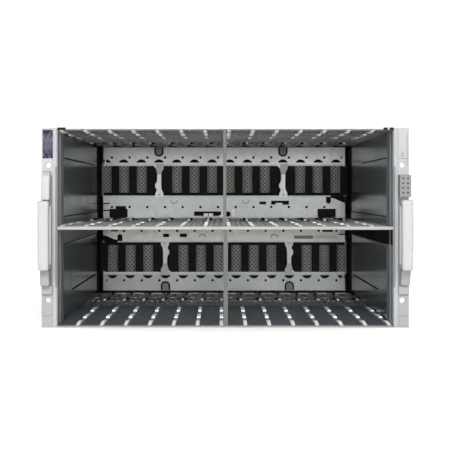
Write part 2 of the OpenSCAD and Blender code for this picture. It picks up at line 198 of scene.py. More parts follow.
def painted(name, base, rough=(0.3, 0.42), texture=1600, tex_amt=0.15, scuff=0.12, scuff_col=None, metallic=0.0, spec=0.5, coat=0.0):
    """Powder or wet paint: orange peel, faint tone changes, scuffs."""
    m, nt, sh = tree(name)
    v = coords(nt)
    big = noise(nt, v, 10, 4, 0.6)
    peel = noise(nt, v, texture, 2, 0.5)
    scratch = noise(nt, coords(nt, (1, 9, 9)), 70, 6, 0.72, 0.6)
    col = mix(nt, maprange(nt, big, 0.3, 0.7, 0, 1), scaled(base, 0.88), scaled(base, 1.08))
    sc = maprange(nt, scratch, 0.6, 0.78, 0, scuff)
    col = mix(nt, sc, col, scuff_col or tuple(min(1, x * 1.6 + 0.05) for x in base))
    nt.links.new(col, sh.inputs["Base Color"])
    r = maprange(nt, math_(nt, "ADD", big, math_(nt, "MULTIPLY", scratch, 0.6)), 0.5, 1.1, rough[0], rough[1])
    nt.links.new(r, sh.inputs["Roughness"])
    sh.inputs["Metallic"].default_value = metallic
    sh.inputs["Specular IOR Level"].default_value = spec
    sh.inputs["Coat Weight"].default_value = coat
    bump(nt, sh, peel, tex_amt, 0.0002)
    return m


def plastic(name, base, rough=(0.4, 0.55), texture=2400, tex_amt=0.2, tone=0.1, spec=0.5, dusty=0.12):
    """Moulded plastic: fine spark-eroded grain, flow marks, slight dust."""
    m, nt, sh = tree(name)
    v = coords(nt)
    flow = noise(nt, coords(nt, (1, 1, 3)), 25, 4, 0.6, 0.8)
    fine = noise(nt, v, texture, 2, 0.6)
    dust = noise(nt, v, 180, 6, 0.7)
    col = mix(nt, maprange(nt, flow, 0.3, 0.7, 0, 1), scaled(base, 1 - tone), scaled(base, 1 + tone * 0.5))
    col = mix(nt, maprange(nt, dust, 0.58, 0.85, 0, dusty), col, (0.5, 0.49, 0.47))
    nt.links.new(col, sh.inputs["Base Color"])
    nt.links.new(maprange(nt, flow, 0.3, 0.7, rough[0], rough[1]), sh.inputs["Roughness"])
    sh.inputs["Specular IOR Level"].default_value = spec
    bump(nt, sh, fine, tex_amt, 0.00015)
    return m


def carrier_sheet_painted_shade(name, mid, end_l, end_r):
    """Galvanised sheet with painted light and shade by band: the strip beside the shelf and the far strip get different
    tones, and the far strip's tone changes from left to right.
    """
    m, nt, sh = tree(name)
    v = coords(nt)
    sep = nt.nodes.new("ShaderNodeSeparateXYZ")
    nt.links.new(v, sep.inputs[0])
    # painted light and shade: the tone is set by the distance from the shelf and, on the far strip, by the position
    # from left to right
    away = math_(nt, "ABSOLUTE", math_(nt, "SUBTRACT", sep.outputs[2], MIDZ))
    t = maprange(nt, away, 0.045, 0.090, 0, 1)
    big = noise(nt, v, 16, 4, 0.6)
    cloud = noise(nt, v, 70, 5, 0.65, 0.4)
    grain = noise(nt, coords(nt, (0.6, 8, 8)), 900, 2, 0.5)
    gray = nt.nodes.new("ShaderNodeRGBToBW")
    nt.links.new(voronoi(nt, v, 170), gray.inputs[0])
    sp = maprange(nt, gray.outputs[0], 0.1, 0.9, 0, 1)
    end = mix(nt, maprange(nt, sep.outputs[0], -0.17, 0.12, 0, 1), end_l, end_r)
    col = mix(nt, t, mid, end)
    col = mix(nt, math_(nt, "MULTIPLY", sp, 0.17), col, (0.30, 0.31, 0.31))
    col = mix(nt, maprange(nt, big, 0.35, 0.65, 0, 0.14), col, (0.92, 0.94, 0.93))
    col = mix(nt, maprange(nt, cloud, 0.52, 0.8, 0, 0.22), col, (0.22, 0.23, 0.22))
    nt.links.new(col, sh.inputs["Base Color"])
    nt.links.new(maprange(nt, gray.outputs[0], 0, 1, 0.46, 0.60), sh.inputs["Roughness"])
    sh.inputs["Metallic"].default_value = 0.12
    sh.inputs["Specular IOR Level"].default_value = 0.35
    bump(nt, sh, math_(nt, "ADD", grain, math_(nt, "MULTIPLY", cloud, 1.5)), 0.12, 0.0003)
    return m


def indigo_plate(name, lo, hi):
    """Dark indigo badge, a little lighter across its middle, with fine wear."""
    m, nt, sh = tree(name)
    v = coords(nt)
    sep = nt.nodes.new("ShaderNodeSeparateXYZ")
    nt.links.new(v, sep.inputs[0])
    t = math_(nt, "ABSOLUTE", math_(nt, "SUBTRACT", sep.outputs[2], (lo + hi) / 2))
    t = maprange(nt, math_(nt, "ADD", t, math_(nt, "MULTIPLY", noise(nt, v, 160, 4, 0.6), 0.006)), 0.009, 0.0175, 0, 1)
    col = mix(nt, t, (0.040, 0.036, 0.068), (0.006, 0.0045, 0.012))
    sc = noise(nt, coords(nt, (9, 9, 1)), 120, 6, 0.7, 0.5)
    wear = noise(nt, coords(nt, (2.2, 1, 1)), 260, 3, 0.6, 0.3)
    col = mix(nt, maprange(nt, wear, 0.5, 0.66, 0, 0.75), col, (0.105, 0.10, 0.135))
    col = mix(nt, maprange(nt, sc, 0.6, 0.8, 0, 0.2), col, (0.07, 0.065, 0.10))
    nt.links.new(col, sh.inputs["Base Color"])
    nt.links.new(maprange(nt, sc, 0.3, 0.7, 0.42, 0.55), sh.inputs["Roughness"])
    sh.inputs["Specular IOR Level"].default_value = 0.12
    bump(nt, sh, noise(nt, v, 1500, 2, 0.5), 0.08, 0.0002)
    return m


def vent_sheet_painted_depth_shade(name, near, far, d0, d1, blots=0.55):
    """Ventilated sheet with painted light and shade that changes along the depth, mottled by dust and handling."""
    m, nt, sh = tree(name)
    v = coords(nt)
    sep = nt.nodes.new("ShaderNodeSeparateXYZ")
    nt.links.new(v, sep.inputs[0])
    # painted light and shade: the tone goes from the near tone to the far tone along the depth
    t = maprange(nt, sep.outputs[1], FRONT + d0, FRONT + d1, 0, 1)
    blot = noise(nt, coords(nt, (1, 0.35, 1)), 150, 4, 0.7, 0.5)
    cloud = noise(nt, coords(nt, (1, 0.4, 1)), 38, 5, 0.65, 0.4)
    grain = noise(nt, coords(nt, (8, 0.6, 8)), 700, 2, 0.5)
    col = mix(nt, t, near, far)
    col = mix(nt, maprange(nt, blot, 0.42, 0.62, 0, blots), col, scaled(near, 0.35))
    worn = mix(nt, t, scaled(near, 1.7), scaled(far, 1.15))
    col = mix(nt, maprange(nt, cloud, 0.5, 0.75, 0, 0.35), col, worn)
    nt.links.new(col, sh.inputs["Base Color"])
    nt.links.new(maprange(nt, cloud, 0.3, 0.7, 0.45, 0.6), sh.inputs["Roughness"])
    sh.inputs["Metallic"].default_value = 0.05
    sh.inputs["Specular IOR Level"].default_value = 0.3
    bump(nt, sh, math_(nt, "ADD", grain, math_(nt, "MULTIPLY", blot, 1.5)), 0.15, 0.0003)
    return m


M = {}
# the two carrier sheets are one galvanised finish with different painted light and shade on each band
M["galv_up"] = carrier_sheet_painted_shade("galvanised_upper_painted_shade", (0.575, 0.605, 0.59), (0.67, 0.685, 0.675), (0.77, 0.785, 0.775))
M["galv_low"] = carrier_sheet_painted_shade("galvanised_lower_painted_shade", (0.76, 0.76, 0.71), (0.335, 0.352, 0.345), (0.43, 0.452, 0.445))
M["lip"] = sheet_metal("rolled_lip", (0.60, 0.62, 0.61), 0.05, (0.5, 0.62), brush=(0.6, 12, 12), grime=0.3, spec=0.25)
M["zinc"] = sheet_metal("zinc_skin", (0.38, 0.39, 0.39), 0.3, (0.56, 0.68), brush=(12, 0.5, 12), spangle=0.3, grime=0.18, spec=0.25)
M["zinc_fine"] = sheet_metal("zinc_fine", (0.50, 0.51, 0.51), 0.75, (0.32, 0.46), brush=(0.6, 14, 14), grime=0.15)
M["slate"] = painted("slate_gloss", (0.044, 0.058, 0.071), (0.15, 0.25), texture=900, tex_amt=0.03, scuff=0.06, spec=0.5)
M["slate_mid"] = painted("slate_flange", (0.15, 0.158, 0.148), (0.35, 0.5), texture=900, tex_amt=0.05, scuff=0.08)
M["slate_strip"] = painted("slate_strip", (0.150, 0.165, 0.172), (0.42, 0.56), texture=900, tex_amt=0.08, scuff=0.12, spec=0.3)
# ceiling sheet: dark near the front and pale at the back, painted light and shade along the depth
M["vent"] = vent_sheet_painted_depth_shade("vent_sheet_painted_depth_shade", (0.165, 0.173, 0.169), (0.93, 0.95, 0.93), 0.05, 0.34, 0.18)
M["shelf_sheet"] = sheet_metal("shelf_sheet", (0.33, 0.335, 0.32), 0.1, (0.42, 0.6), brush=(12, 0.5, 12), grime=0.4, spec=0.3)
# floor sheet: dark near the front and paler at the back, painted light and shade along the depth
M["floor_sheet"] = vent_sheet_painted_depth_shade("floor_sheet", (0.080, 0.090, 0.104), (0.64, 0.66, 0.665), 0.28, 0.40, 0.24)
M["shelf_edge"] = painted("shelf_edge", (0.25, 0.25, 0.243), (0.45, 0.55), scuff=0.14, scuff_col=(0.16, 0.16, 0.16), spec=0.2)
M["rail"] = plastic("rail_white", (0.93, 0.93, 0.92), (0.35, 0.5), tone=0.05, dusty=0.05)
M["rail_dim"] = plastic("rail_foot", (0.30, 0.31, 0.31), (0.45, 0.6), tone=0.1, spec=0.3)
M["black"] = plastic("connector_black", (0.005, 0.0055, 0.005), (0.6, 0.75), tone=0.2, spec=0.12, dusty=0.02)
M["contact"] = sheet_metal("contact_gold", (0.72, 0.52, 0.22), 1.0, (0.25, 0.4), grime=0.1)
M["column"] = sheet_metal("air_column", (0.300, 0.320, 0.290), 0.05, (0.5, 0.65), grime=0.45, grime_col=(0.06, 0.06, 0.055), spec=0.25)
# flat black: real black for the corner foam, and painted shade in most gaps, slots and places behind openings
M["black_and_painted_shade"] = plastic("black_and_painted_shade", (0.006, 0.006, 0.0065), (0.7, 0.85), tone=0.2, spec=0.12, dusty=0.02)
M["board"] = plastic("solder_mask", (0.008, 0.018, 0.013), (0.65, 0.8), texture=800, tone=0.25, spec=0.08, dusty=0.02)
M["ear"] = painted("ear_silver", (0.265, 0.265, 0.27), (0.45, 0.58), texture=1800, tex_amt=0.12, scuff=0.06, scuff_col=(0.33, 0.33, 0.33), spec=0.2)
M["ear_lip"] = painted("ear_lip", (0.262, 0.262, 0.268), (0.45, 0.58), texture=1800, tex_amt=0.1, scuff=0.08, scuff_col=(0.2, 0.2, 0.2), spec=0.2)
# darker copy of the ear paint; on the lower ear covers it is painted shade
M["ear_grey"] = painted("ear_grey", (0.218, 0.218, 0.22), (0.45, 0.58), texture=1800, tex_amt=0.12, scuff=0.1, scuff_col=(0.17, 0.17, 0.17), spec=0.2)
# lighter copy of the ear paint for the upper ear covers: painted light
M["ear_pale_painted_light"] = painted("ear_pale_painted_light", (0.285, 0.285, 0.29), (0.45, 0.58), texture=1800, tex_amt=0.12, scuff=0.06, scuff_col=(0.24, 0.24, 0.24), spec=0.2)
M["handle"] = plastic("handle_white", (0.305, 0.297, 0.30), (0.42, 0.54), tone=0.04, spec=0.25, dusty=0.04)
# slightly lighter copy of the handle plastic for the upward-facing upper block: painted light
M["handle_top"] = plastic("handle_upper_painted_light", (0.31, 0.307, 0.31), (0.42, 0.54), tone=0.05, spec=0.25, dusty=0.04)
# darker copy of the handle plastic for the downward-facing foot: painted shade
M["handle_foot_painted_shade"] = plastic("handle_foot_painted_shade", (0.225, 0.225, 0.228), (0.42, 0.54), tone=0.06, spec=0.25, dusty=0.06)
# lighter copy of the ear paint behind the grip: painted light
M["seat"] = painted("handle_seat", (0.40, 0.40, 0.405), (0.45, 0.58), texture=1800, tex_amt=0.12, scuff=0.08, scuff_col=(0.3, 0.3, 0.3), spec=0.2)
# dark grey line beside the handle: painted shadow
M["seam"] = plastic("seam_painted_shadow", (0.138, 0.138, 0.143), (0.5, 0.65), tone=0.1, spec=0.2)
M["badge"] = indigo_plate("badge_indigo", TOP - 0.0392, TOP - 0.0023)
M["marker"] = plastic("marker_grey", (0.148, 0.15, 0.155), (0.48, 0.6), spec=0.2, dusty=0.06)
M["marker_dot"] = plastic("marker_inlay", (0.035, 0.035, 0.038), (0.5, 0.65), tone=0.15, spec=0.15, dusty=0.05)
M["screw"] = sheet_metal("screw_plate", (0.55, 0.55, 0.54), 0.9, (0.25, 0.42), grime=0.2)
M["case_fan"] = sheet_metal("fan_case", (0.42, 0.43, 0.43), 0.5, (0.46, 0.58), brush=(12, 0.5, 12), spangle=0.2)
M["case_psu"] = painted("psu_case", (0.20, 0.21, 0.22), (0.35, 0.5), texture=1400, tex_amt=0.2, metallic=0.2)
M["case_dark"] = painted("module_dark", (0.045, 0.05, 0.055), (0.35, 0.5), texture=1400, tex_amt=0.2)
M["case_grey"] = painted("module_grey", (0.24, 0.25, 0.26), (0.35, 0.5), texture=1400, tex_amt=0.2, metallic=0.2)
M["rotor"] = plastic("rotor_black", (0.02, 0.02, 0.022), (0.35, 0.5), tone=0.15)
M["latch"] = plastic("latch_blue", (0.05, 0.17, 0.36), (0.35, 0.48), tone=0.1)
M["post"] = painted("post_grey", (0.085, 0.088, 0.083), (0.5, 0.62), scuff=0.12, spec=0.15)
M["strut"] = painted("strut_white", (0.66, 0.68, 0.665), (0.5, 0.6), texture=1500, tex_amt=0.1, scuff=0.2, scuff_col=(0.35, 0.37, 0.36), spec=0.3)
M["strut_lighter"] = painted("strut_lighter", (0.90, 0.92, 0.905), (0.45, 0.6), texture=1500, tex_amt=0.08, scuff=0.12, scuff_col=(0.5, 0.52, 0.51), spec=0.3)
M["strut_grey"] = painted("strut_grey", (0.42, 0.43, 0.42), (0.45, 0.6), texture=1500, tex_amt=0.1, scuff=0.2, scuff_col=(0.2, 0.2, 0.2), spec=0.3)
M["label"] = plastic("bare_label", (0.58, 0.58, 0.565), (0.5, 0.65), texture=3000, tone=0.06)
M["label_grey"] = plastic("bare_label_grey", (0.18, 0.185, 0.19), (0.5, 0.65), texture=3000, tone=0.1)
M["white_part"] = plastic("white_socket", (0.85, 0.86, 0.85), (0.4, 0.5), tone=0.06)
# near-black half-tubes inside the air columns: painted shade seen through the holes
M["filter"] = plastic("column_filter", (0.064, 0.066, 0.059), (0.7, 0.85), tone=0.25, spec=0.1, dusty=0.05)
M["pad"] = plastic("guide_pad", (0.36, 0.37, 0.37), (0.45, 0.6), tone=0.1, spec=0.3)
M["strip_fold"] = painted("strip_fold", (0.205, 0.222, 0.23), (0.42, 0.56), texture=900, tex_amt=0.08, scuff=0.12, spec=0.3)
M["tongue"] = painted("tongue_grey", (0.20, 0.208, 0.202), (0.5, 0.62), texture=1500, tex_amt=0.1, scuff=0.25, scuff_col=(0.36, 0.37, 0.365), spec=0.2)
M["lip_fold"] = painted("lip_fold", (0.125, 0.125, 0.13), (0.45, 0.58), texture=1800, tex_amt=0.1, scuff=0.1, scuff_col=(0.2, 0.2, 0.2), spec=0.2)
M["bezel"] = painted("bezel_charcoal", (0.030, 0.032, 0.035), (0.38, 0.52), texture=1400, tex_amt=0.2, scuff=0.15, scuff_col=(0.12, 0.12, 0.12))
M["jack"] = plastic("jack_black", (0.018, 0.018, 0.02), (0.35, 0.5), tone=0.15)
M["cover"] = sheet_metal("cover_panel", (0.36, 0.37, 0.37), 0.3, (0.58, 0.7), brush=(12, 0.5, 12), spangle=0.24, grime=0.2, spec=0.2)
M["side_panel"] = sheet_metal("side_panel", (0.42, 0.43, 0.43), 0.5, (0.48, 0.6), brush=(12, 0.5, 12), spangle=0.22, grime=0.16)
M["frame_edge"] = sheet_metal("frame_edge", (0.56, 0.57, 0.57), 0.8, (0.28, 0.42), brush=(0.6, 14, 14), grime=0.15)
M["lamp_green"] = plastic("lamp_green", (0.10, 0.55, 0.18), (0.15, 0.25), tone=0.05)
M["lamp_amber"] = plastic("lamp_amber", (0.75, 0.33, 0.04), (0.15, 0.25), tone=0.05)


# ------------------------------------------------------------------ mesh helpers
class Build:
    """Collects welded vertices and faces with a material index each."""

    def __init__(self):
        self.v, self.f, self.m, self.key = [], [], [], {}

    def p(self, x, y, z, weld=True):
        if not weld:
            self.v.append((x, y, z))
            return len(self.v) - 1
        k = (round(x * 1e6), round(y * 1e6), round(z * 1e6))
        i = self.key.get(k)
        if i is None:
            i = self.key[k] = len(self.v)
            self.v.append((x, y, z))
        return i

    def face(self, idx, mat=0):
        if len(set(idx)) > 2:
            self.f.append(tuple(idx))
            self.m.append(mat)

    def box(self, lo, hi, mat=0):
        b = len(self.v)
        for z in (lo[2], hi[2]):
            for x, y in ((lo[0], lo[1]), (hi[0], lo[1]), (hi[0], hi[1]), (lo[0], hi[1])):
                self.v.append((x, y, z))
        for q in ((3, 2, 1, 0), (4, 5, 6, 7), (0, 1, 5, 4), (1, 2, 6, 5), (2, 3, 7, 6), (3, 0, 4, 7)):
            self.face([b + i for i in q], mat)

    def prism(self, pts, axis, a, b, mat=0):
        """A closed outline swept along an axis; pts are in the other two axes, in X, Y, Z order."""
        def at(p, t):
            q = [0.0, 0.0, 0.0]
            o = [i for i in range(3) if i != axis]
            q[o[0]], q[o[1]], q[axis] = p[0], p[1], t
            return tuple(q)
        area = sum(pts[i][0] * pts[(i + 1) % len(pts)][1] - pts[(i + 1) % len(pts)][0] * pts[i][1] for i in range(len(pts)))
        if (area < 0) != (axis == 1):
            pts = pts[::-1]
        s = len(self.v)
        n = len(pts)
        for t in (a, b):
            for p in pts:
                self.v.append(at(p, t))
        self.face([s + n - 1 - i for i in range(n)], mat)
        self.face([s + n + i for i in range(n)], mat)
        for i in range(n):
            j = (i + 1) % n
            self.face([s + i, s + j, s + n + j, s + n + i], mat)

    def disc(self, c, r, axis, h, n=16, mat=0, dome=0.0):
        o = [i for i in range(3) if i != axis]
        pts = [(c[o[0]] + r * math.cos(2 * math.pi * i / n), c[o[1]] + r * math.sin(2 * math.pi * i / n)) for i in range(n)]
        self.prism(pts, axis, c[axis], c[axis] + h, mat)

    def make(self, name, mats, body="chassis", slot=None, replaces=(), bevel=None, smooth=None):
        me = bpy.data.meshes.new(name)
        me.from_pydata(self.v, [], self.f)
        for m in mats:
            me.materials.append(m)
        me.polygons.foreach_set("material_index", self.m)
        me.update()
        o = bpy.data.objects.new(name, me)
        scene.collection.objects.link(o)
        if bevel:
            b = o.modifiers.new("edge", "BEVEL")
            b.width = bevel
            b.segments = 2
            b.limit_method = "ANGLE"
            b.angle_limit = math.radians(40)
            b.harden_normals = True
        if smooth:
            shade(o, smooth)
        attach(o, body)
        if replaces:
            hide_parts(*replaces)
        return o


def shade(o, deg):
    me = o.data
    for p in me.polygons:
        p.use_smooth = True
    try:
        me.set_sharp_from_angle(angle=math.radians(deg))
    except Exception:
        pass


def perforated(b, xs, ys, z0, z1, hole, to=lambda x, y, z: (x, y, z), mat=0, wall=0, closed_edges=True):
    """A sheet on a grid of cells between z0 and z1; hole(i, j) gives (hx, hy) half sizes of that cell's opening, or None."""
    ang = [(-1, -1), (0, -1), (1, -1), (1, 0), (1, 1), (0, 1), (-1, 1), (-1, 0)]
    nx, ny = len(xs) - 1, len(ys) - 1
    for i in range(nx):
        for j in range(ny):
            cx, cy = (xs[i] + xs[i + 1]) / 2, (ys[j] + ys[j + 1]) / 2
            wx, wy = (xs[i + 1] - xs[i]) / 2, (ys[j + 1] - ys[j]) / 2
            outer = {}
            for z in (z0, z1):
                outer[z] = [b.p(*to(cx + a * wx, cy + c * wy, z)) for a, c in ang]
            h = hole(i, j)
            if h is None:
                b.face(outer[z1], mat)
                b.face(outer[z0][::-1], mat)
            else:
                inner = {}
                for z in (z0, z1):
                    inner[z] = [b.p(*to(cx + a * h[0] * (0.72 if a and c else 1), cy + c * h[1] * (0.72 if a and c else 1), z)) for a, c in ang]
                for k in range(8):
                    n = (k + 1) % 8
                    b.face((outer[z1][k], outer[z1][n], inner[z1][n], inner[z1][k]), mat)
                    b.face((outer[z0][n], outer[z0][k], inner[z0][k], inner[z0][n]), mat)
                    b.face((inner[z1][k], inner[z1][n], inner[z0][n], inner[z0][k]), wall)
            if closed_edges:
                for edge, (ka, kb, kc) in ((j == 0, (0, 1, 2)), (i == nx - 1, (2, 3, 4)), (j == ny - 1, (4, 5, 6)), (i == 0, (6, 7, 0))):
                    if edge:
                        for a, c in ((ka, kb), (kb, kc)):
                            b.face((outer[z1][c], outer[z1][a], outer[z0][a], outer[z0][c]), mat)


def frange(a, b, n):
    return [a + (b - a) * i / n for i in range(n + 1)]


def turned(b, first):
    """Adds a copy of everything built since `first`, turned by half a turn about the middle of the front."""
    v0, f0 = first
    off = len(b.v) - v0
    for x, y, z in b.v[v0:len(b.v)]:
        b.v.append((-x, y, 2 * MIDZ - z))
    for f, m in list(zip(b.f[f0:], b.m[f0:])):
        b.f.append(tuple(i + off for i in f))
        b.m.append(m)


# ------------------------------------------------------------------ CAD nodes that stay, with their finish
def finish_node(node, mats, bevel=None, by=None):
    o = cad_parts[node]
    if not isinstance(mats, (list, tuple)):
        mats = [mats]
    me = o.data
    if len(me.materials) == 0:
        me.materials.append(mats[0])
    else:
        for i in range(len(me.materials)):
            me.materials[i] = mats[0]
    if bevel:
        b = o.modifiers.new("edge", "BEVEL")
        b.width = bevel
        b.segments = 2
        b.limit_method = "ANGLE"
        b.angle_limit = math.radians(45)
    return o


for n in ("top_cover", "bottom_pan", "side_wall_left", "side_wall_right"):
    finish_node(n, M["zinc"])
for n in ("bay_liner_left", "bay_liner_right"):
    finish_node(n, M["slate"])
finish_node("carrier_upper", M["galv_up"])
finish_node("carrier_lower", M["galv_low"])
finish_node("centre_posts", M["post"], 0.0005)
finish_node("midplane_board", M["board"])
finish_node("blade_connectors", M["black"], 0.0004)
finish_node("power_sockets", M["black"], 0.0004)
for n in ("rack_ear_left", "rack_ear_right"):
    finish_node(n, M["ear"], 0.0005)
finish_node("badge_plate", M["badge"], 0.0006)
finish_node("marker_plate", M["marker"], 0.0006)
finish_node("rear_shelves", M["zinc"])
finish_node("rear_dividers", M["zinc"])
finish_node("fasteners", M["screw"], 0.0002)
for i in range(1, 5):
    finish_node(f"fan_{i}_case", M["case_fan"])
    finish_node(f"psu_{i}_case", M["case_psu"])
    for k in ("fan", "psu"):
        finish_node(f"{k}_{i}_rotor", M["rotor"])
        finish_node(f"{k}_{i}_latch", M["latch"], 0.0004)
for i in (1, 2):
    finish_node(f"switch_{i}_case", M["case_dark"], 0.0004)
    finish_node(f"manager_{i}_case", M["case_grey"], 0.0004)
    finish_node(f"switch_{i}_lever", M["latch"], 0.0004)
    finish_node(f"manager_{i}_lever", M["latch"], 0.0004)

# ------------------------------------------------------------------ ceiling, floor and shelf sheets
Y0, Y1 = FRONT + 0.0025, CARRIER_Y
CX, CY = 56, 40
VX, VY = 56, 22


def vent_hole(i, j):
    return (0.0031, 0.0058) if 1 <= j < CY - 1 and (i + j) % 2 == 0 else None


def ceiling_slot(i, j):
    if not 0 < j < VY - 1 or (i + j) % 2:
        return None
    return (0.0027, 0.0088) if j < 9 else (0.0012, 0.0040) if j % 3 == 0 else None


def floor_slot(i, j):
    return (0.0019, 0.0060) if 10 < j < VY - 2 and (i + j) % 2 == 0 else None


for name, z0, z1, shade_sheet, holes, mat in (("ceiling_plate", CEIL_Z, CEIL_Z + 0.0006, (CEIL_Z + 0.0007, TOP - 0.0013), ceiling_slot, "vent"),
                                       ("floor_plate", FLOOR_Z - 0.0006, FLOOR_Z, (0.0013, FLOOR_Z - 0.0007), floor_slot, "floor_sheet")):
    b = Build()
    perforated(b, frange(-IN_X - 0.001, IN_X + 0.001, VX), frange(Y0, Y1, VY), z0, z1, holes)
    # dark box behind the openings, filling the space to the outer skin: painted shade seen through the openings
    b.box((-IN_X - 0.0008, Y0 + 0.0002, shade_sheet[0]), (IN_X + 0.0008, Y1 - 0.0002, shade_sheet[1]), 1)
    b.make(name + "_vented", [M[mat], M["black_and_painted_shade"]], slot="slate_sheet", replaces=[name])

b = Build()
perforated(b, frange(-IN_X, IN_X, CX), frange(FRONT + 0.006, Y1, CY), SHELF_LO, SHELF_HI, vent_hole)
hem = [(FRONT + 0.006, MIDZ - 0.00265), (FRONT + 0.0009, MIDZ - 0.00265), (FRONT + 0.0003, MIDZ - 0.0021), (FRONT, MIDZ - 0.0012), (FRONT, MIDZ + 0.0004),
       (FRONT + 0.0003, MIDZ + 0.0012), (FRONT + 0.0009, MIDZ + 0.00175), (FRONT + 0.006, MIDZ + 0.00175)]
b.prism(hem, 0, -IN_X, IN_X, 1)
b.make("mid_shelf_vented", [M["shelf_sheet"], M["shelf_edge"]], slot="slate_sheet", replaces=["mid_shelf"])

# ------------------------------------------------------------------ guide rails
SEGS = ((0.003, 0.060), (0.098, 0.150), (0.195, 0.265))
RAIL_H = 0.0019


def rail(b, x, z, up):
    """One blade guide on a sheet at height z: three raised bright runs on a low dim strip."""
    s = 1 if up else -1
    h = RAIL_H if up else 0.0025
    for n, (y0, y1) in enumerate(SEGS):
        lead, nose = (0.026, 0.0003) if n == 0 else (0.004, 0.0015) if up else (0.0012, 0.0021)
        prof = [(FRONT + y0, z), (FRONT + y1, z), (FRONT + y1, z + s * 0.0009), (FRONT + y1 - 0.014, z + s * h),
                (FRONT + y0 + lead, z + s * h), (FRONT + y0, z + s * nose)]
        b.prism(prof, 0, x - 0.0023, x + 0.0023, 0)
    za, zb = sorted((z, z + s * 0.0005))
    b.box((x - 0.0025, FRONT + 0.0032, za), (x + 0.0025, FRONT + 0.290, zb), 1)
    for y0, y1 in ((0.060, 0.098), (0.150, 0.195), (0.265, 0.290)):
        za, zb = sorted((z, z + s * 0.0010))
        b.box((x - 0.0009, FRONT + y0, za), (x + 0.0009, FRONT + y1, zb), 1)


def rails(name, node, flip):
    b = Build()
    for k in range(BAYS):
        x = bay(k) + 0.005
        rail(b, x, CEIL_Z, False)
        rail(b, x, SHELF_HI, True)
        # small rear guides, a black block beside each on its side toward the centre as painted shadow of the guide's
        # shaded side, and the cross strip behind them
        side = 1 if x < 0 else -1
        for z, s in ((CEIL_Z, -1), (SHELF_HI, 1)):
            for y0, y1, w, h, m, dx in ((0.398, 0.424, 0.0030, 0.0022, 0, 0.0), (0.404, 0.426, 0.0034, 0.0042 if s > 0 else 0.0020, 2, 0.0045 * side)):
                za, zb = sorted((z, z + s * h))
                b.box((x + dx - w / 2, FRONT + y0, za), (x + dx + w / 2, FRONT + y1, zb), m)
            za, zb = sorted((z, z + s * 0.0020))
            if k < BAYS - 1:
                b.box((x + 0.0070, FRONT + 0.524, za), (x + 0.0250, FRONT + 0.534, zb), 4)
            b.box((x - 0.0042, FRONT + 0.500, za), (x - 0.0022, FRONT + 0.548, zb), 2)
            # low pads and the flat tail of the rail
            za, zb = sorted((z, z + s * 0.0011))
            b.box((x - 0.0015, FRONT + 0.440, za), (x + 0.0015, FRONT + 0.496, zb), 1)
            for dx in (0.0082, 0.0175):
                b.box((x + dx - 0.0020, FRONT + 0.380, za), (x + dx + 0.0020, FRONT + 0.428, zb), 4)
            b.box((x + 0.0136, FRONT + 0.446, za), (x + 0.0204, FRONT + 0.516, zb), 4)
    if flip:
        b.v = [(-x, y, 2 * MIDZ - z) for x, y, z in b.v]
    b.make(name, [M["rail"], M["rail_dim"], M["black"], M["lip"], M["pad"]], slot="white_plastic", replaces=[node], bevel=0.0003)


rails("guide_rails_upper_set", "guide_rails_upper", False)
rails("guide_rails_lower_set", "guide_rails_lower", True)

# ------------------------------------------------------------------ perforated air columns behind the windows
R_COL = 0.009


def lattice(b, cx, zlo, zhi, row, nt=4, pz=0.0071):
    """Outer skin of one half-round column: a lattice of diamonds, each with a diamond opening."""
    pt = math.pi / nt
    rows = int(round((zhi - zlo) / pz))
    pz = (zhi - zlo) / rows

    def at(t, z):
        x, y = cx - R_COL * math.cos(t), BOARD_Y - R_COL * math.sin(t)
        return b.p(x, y, z) if row == 0 else b.p(-x, y, 2 * MIDZ - z)
    k = 0.66
    for i in range(0, 2 * nt + 1):
        for j in range(0, 2 * rows + 1):
            if (i + j) % 2:
                continue
            t0, z0 = i * pt / 2, zlo + j * pz / 2
            ht, hz = pt / 2, pz / 2
            ring = [(-1, 0), (-0.5, -0.5), (0, -1), (0.5, -0.5), (1, 0), (0.5, 0.5), (0, 1), (-0.5, 0.5)]
            # keep whole diamonds, and the half of a border diamond that lies inside
            inside = [0 <= i + c <= 2 * nt and 0 <= j + d <= 2 * rows for c, d in ring]
            if not all(inside):
                pts = [at(t0 + c * ht, z0 + d * hz) for (c, d), ok in zip(ring, inside) if ok]
                own = at(t0, z0)
                n = len(pts)
                cyc = [q for q, ok in enumerate(inside) if ok]
                for a_, c_ in zip(range(8), [(q + 1) % 8 for q in range(8)]):
                    if inside[a_] and inside[c_]:
                        b.face((own, at(t0 + ring[a_][0] * ht, z0 + ring[a_][1] * hz), at(t0 + ring[c_][0] * ht, z0 + ring[c_][1] * hz)))
                continue
            outer = [at(t0 + c * ht, z0 + d * hz) for c, d in ring]
            inner = [at(t0 + c * ht * k, z0 + d * hz * k) for c, d in ring]
            for q in range(8):
                n = (q + 1) % 8
                b.face((outer[q], outer[n], inner[n], inner[q]))


for row, tag in ((0, "upper"), (1, "lower")):
    b, core = Build(), Build()
    for k in range(BAYS):
        if k in (3, 10):
            continue
        cx = bay(k) + 0.010
        zlo, zhi = WIN_LO + 0.0005, WIN_HI + 0.0050
        b.key.clear()
        lattice(b, cx, zlo, zhi, row)
        # dark half-tube inside each column: painted shade seen through the holes
        half = [(cx - 0.0074 * math.cos(math.pi * q / 10), BOARD_Y - 0.0003 - 0.0074 * math.sin(math.pi * q / 10)) for q in range(11)]
        if row:
            half = [(-x, y) for x, y in half]
        za, zb = (zlo, zhi) if row == 0 else (2 * MIDZ - zhi, 2 * MIDZ - zlo)
        core.prism(half, 2, za, zb)
    o = b.make("air_columns_" + tag, [M["column"]], slot="grey_steel", replaces=["air_screens"] if row == 0 else (), smooth=40)
    sol = o.modifiers.new("sheet", "SOLIDIFY")
    sol.thickness = 0.0009
    sol.offset = -1 if row == 0 else -1
    core.make("column_filters_" + tag, [M["filter"]], slot="black_plastic")

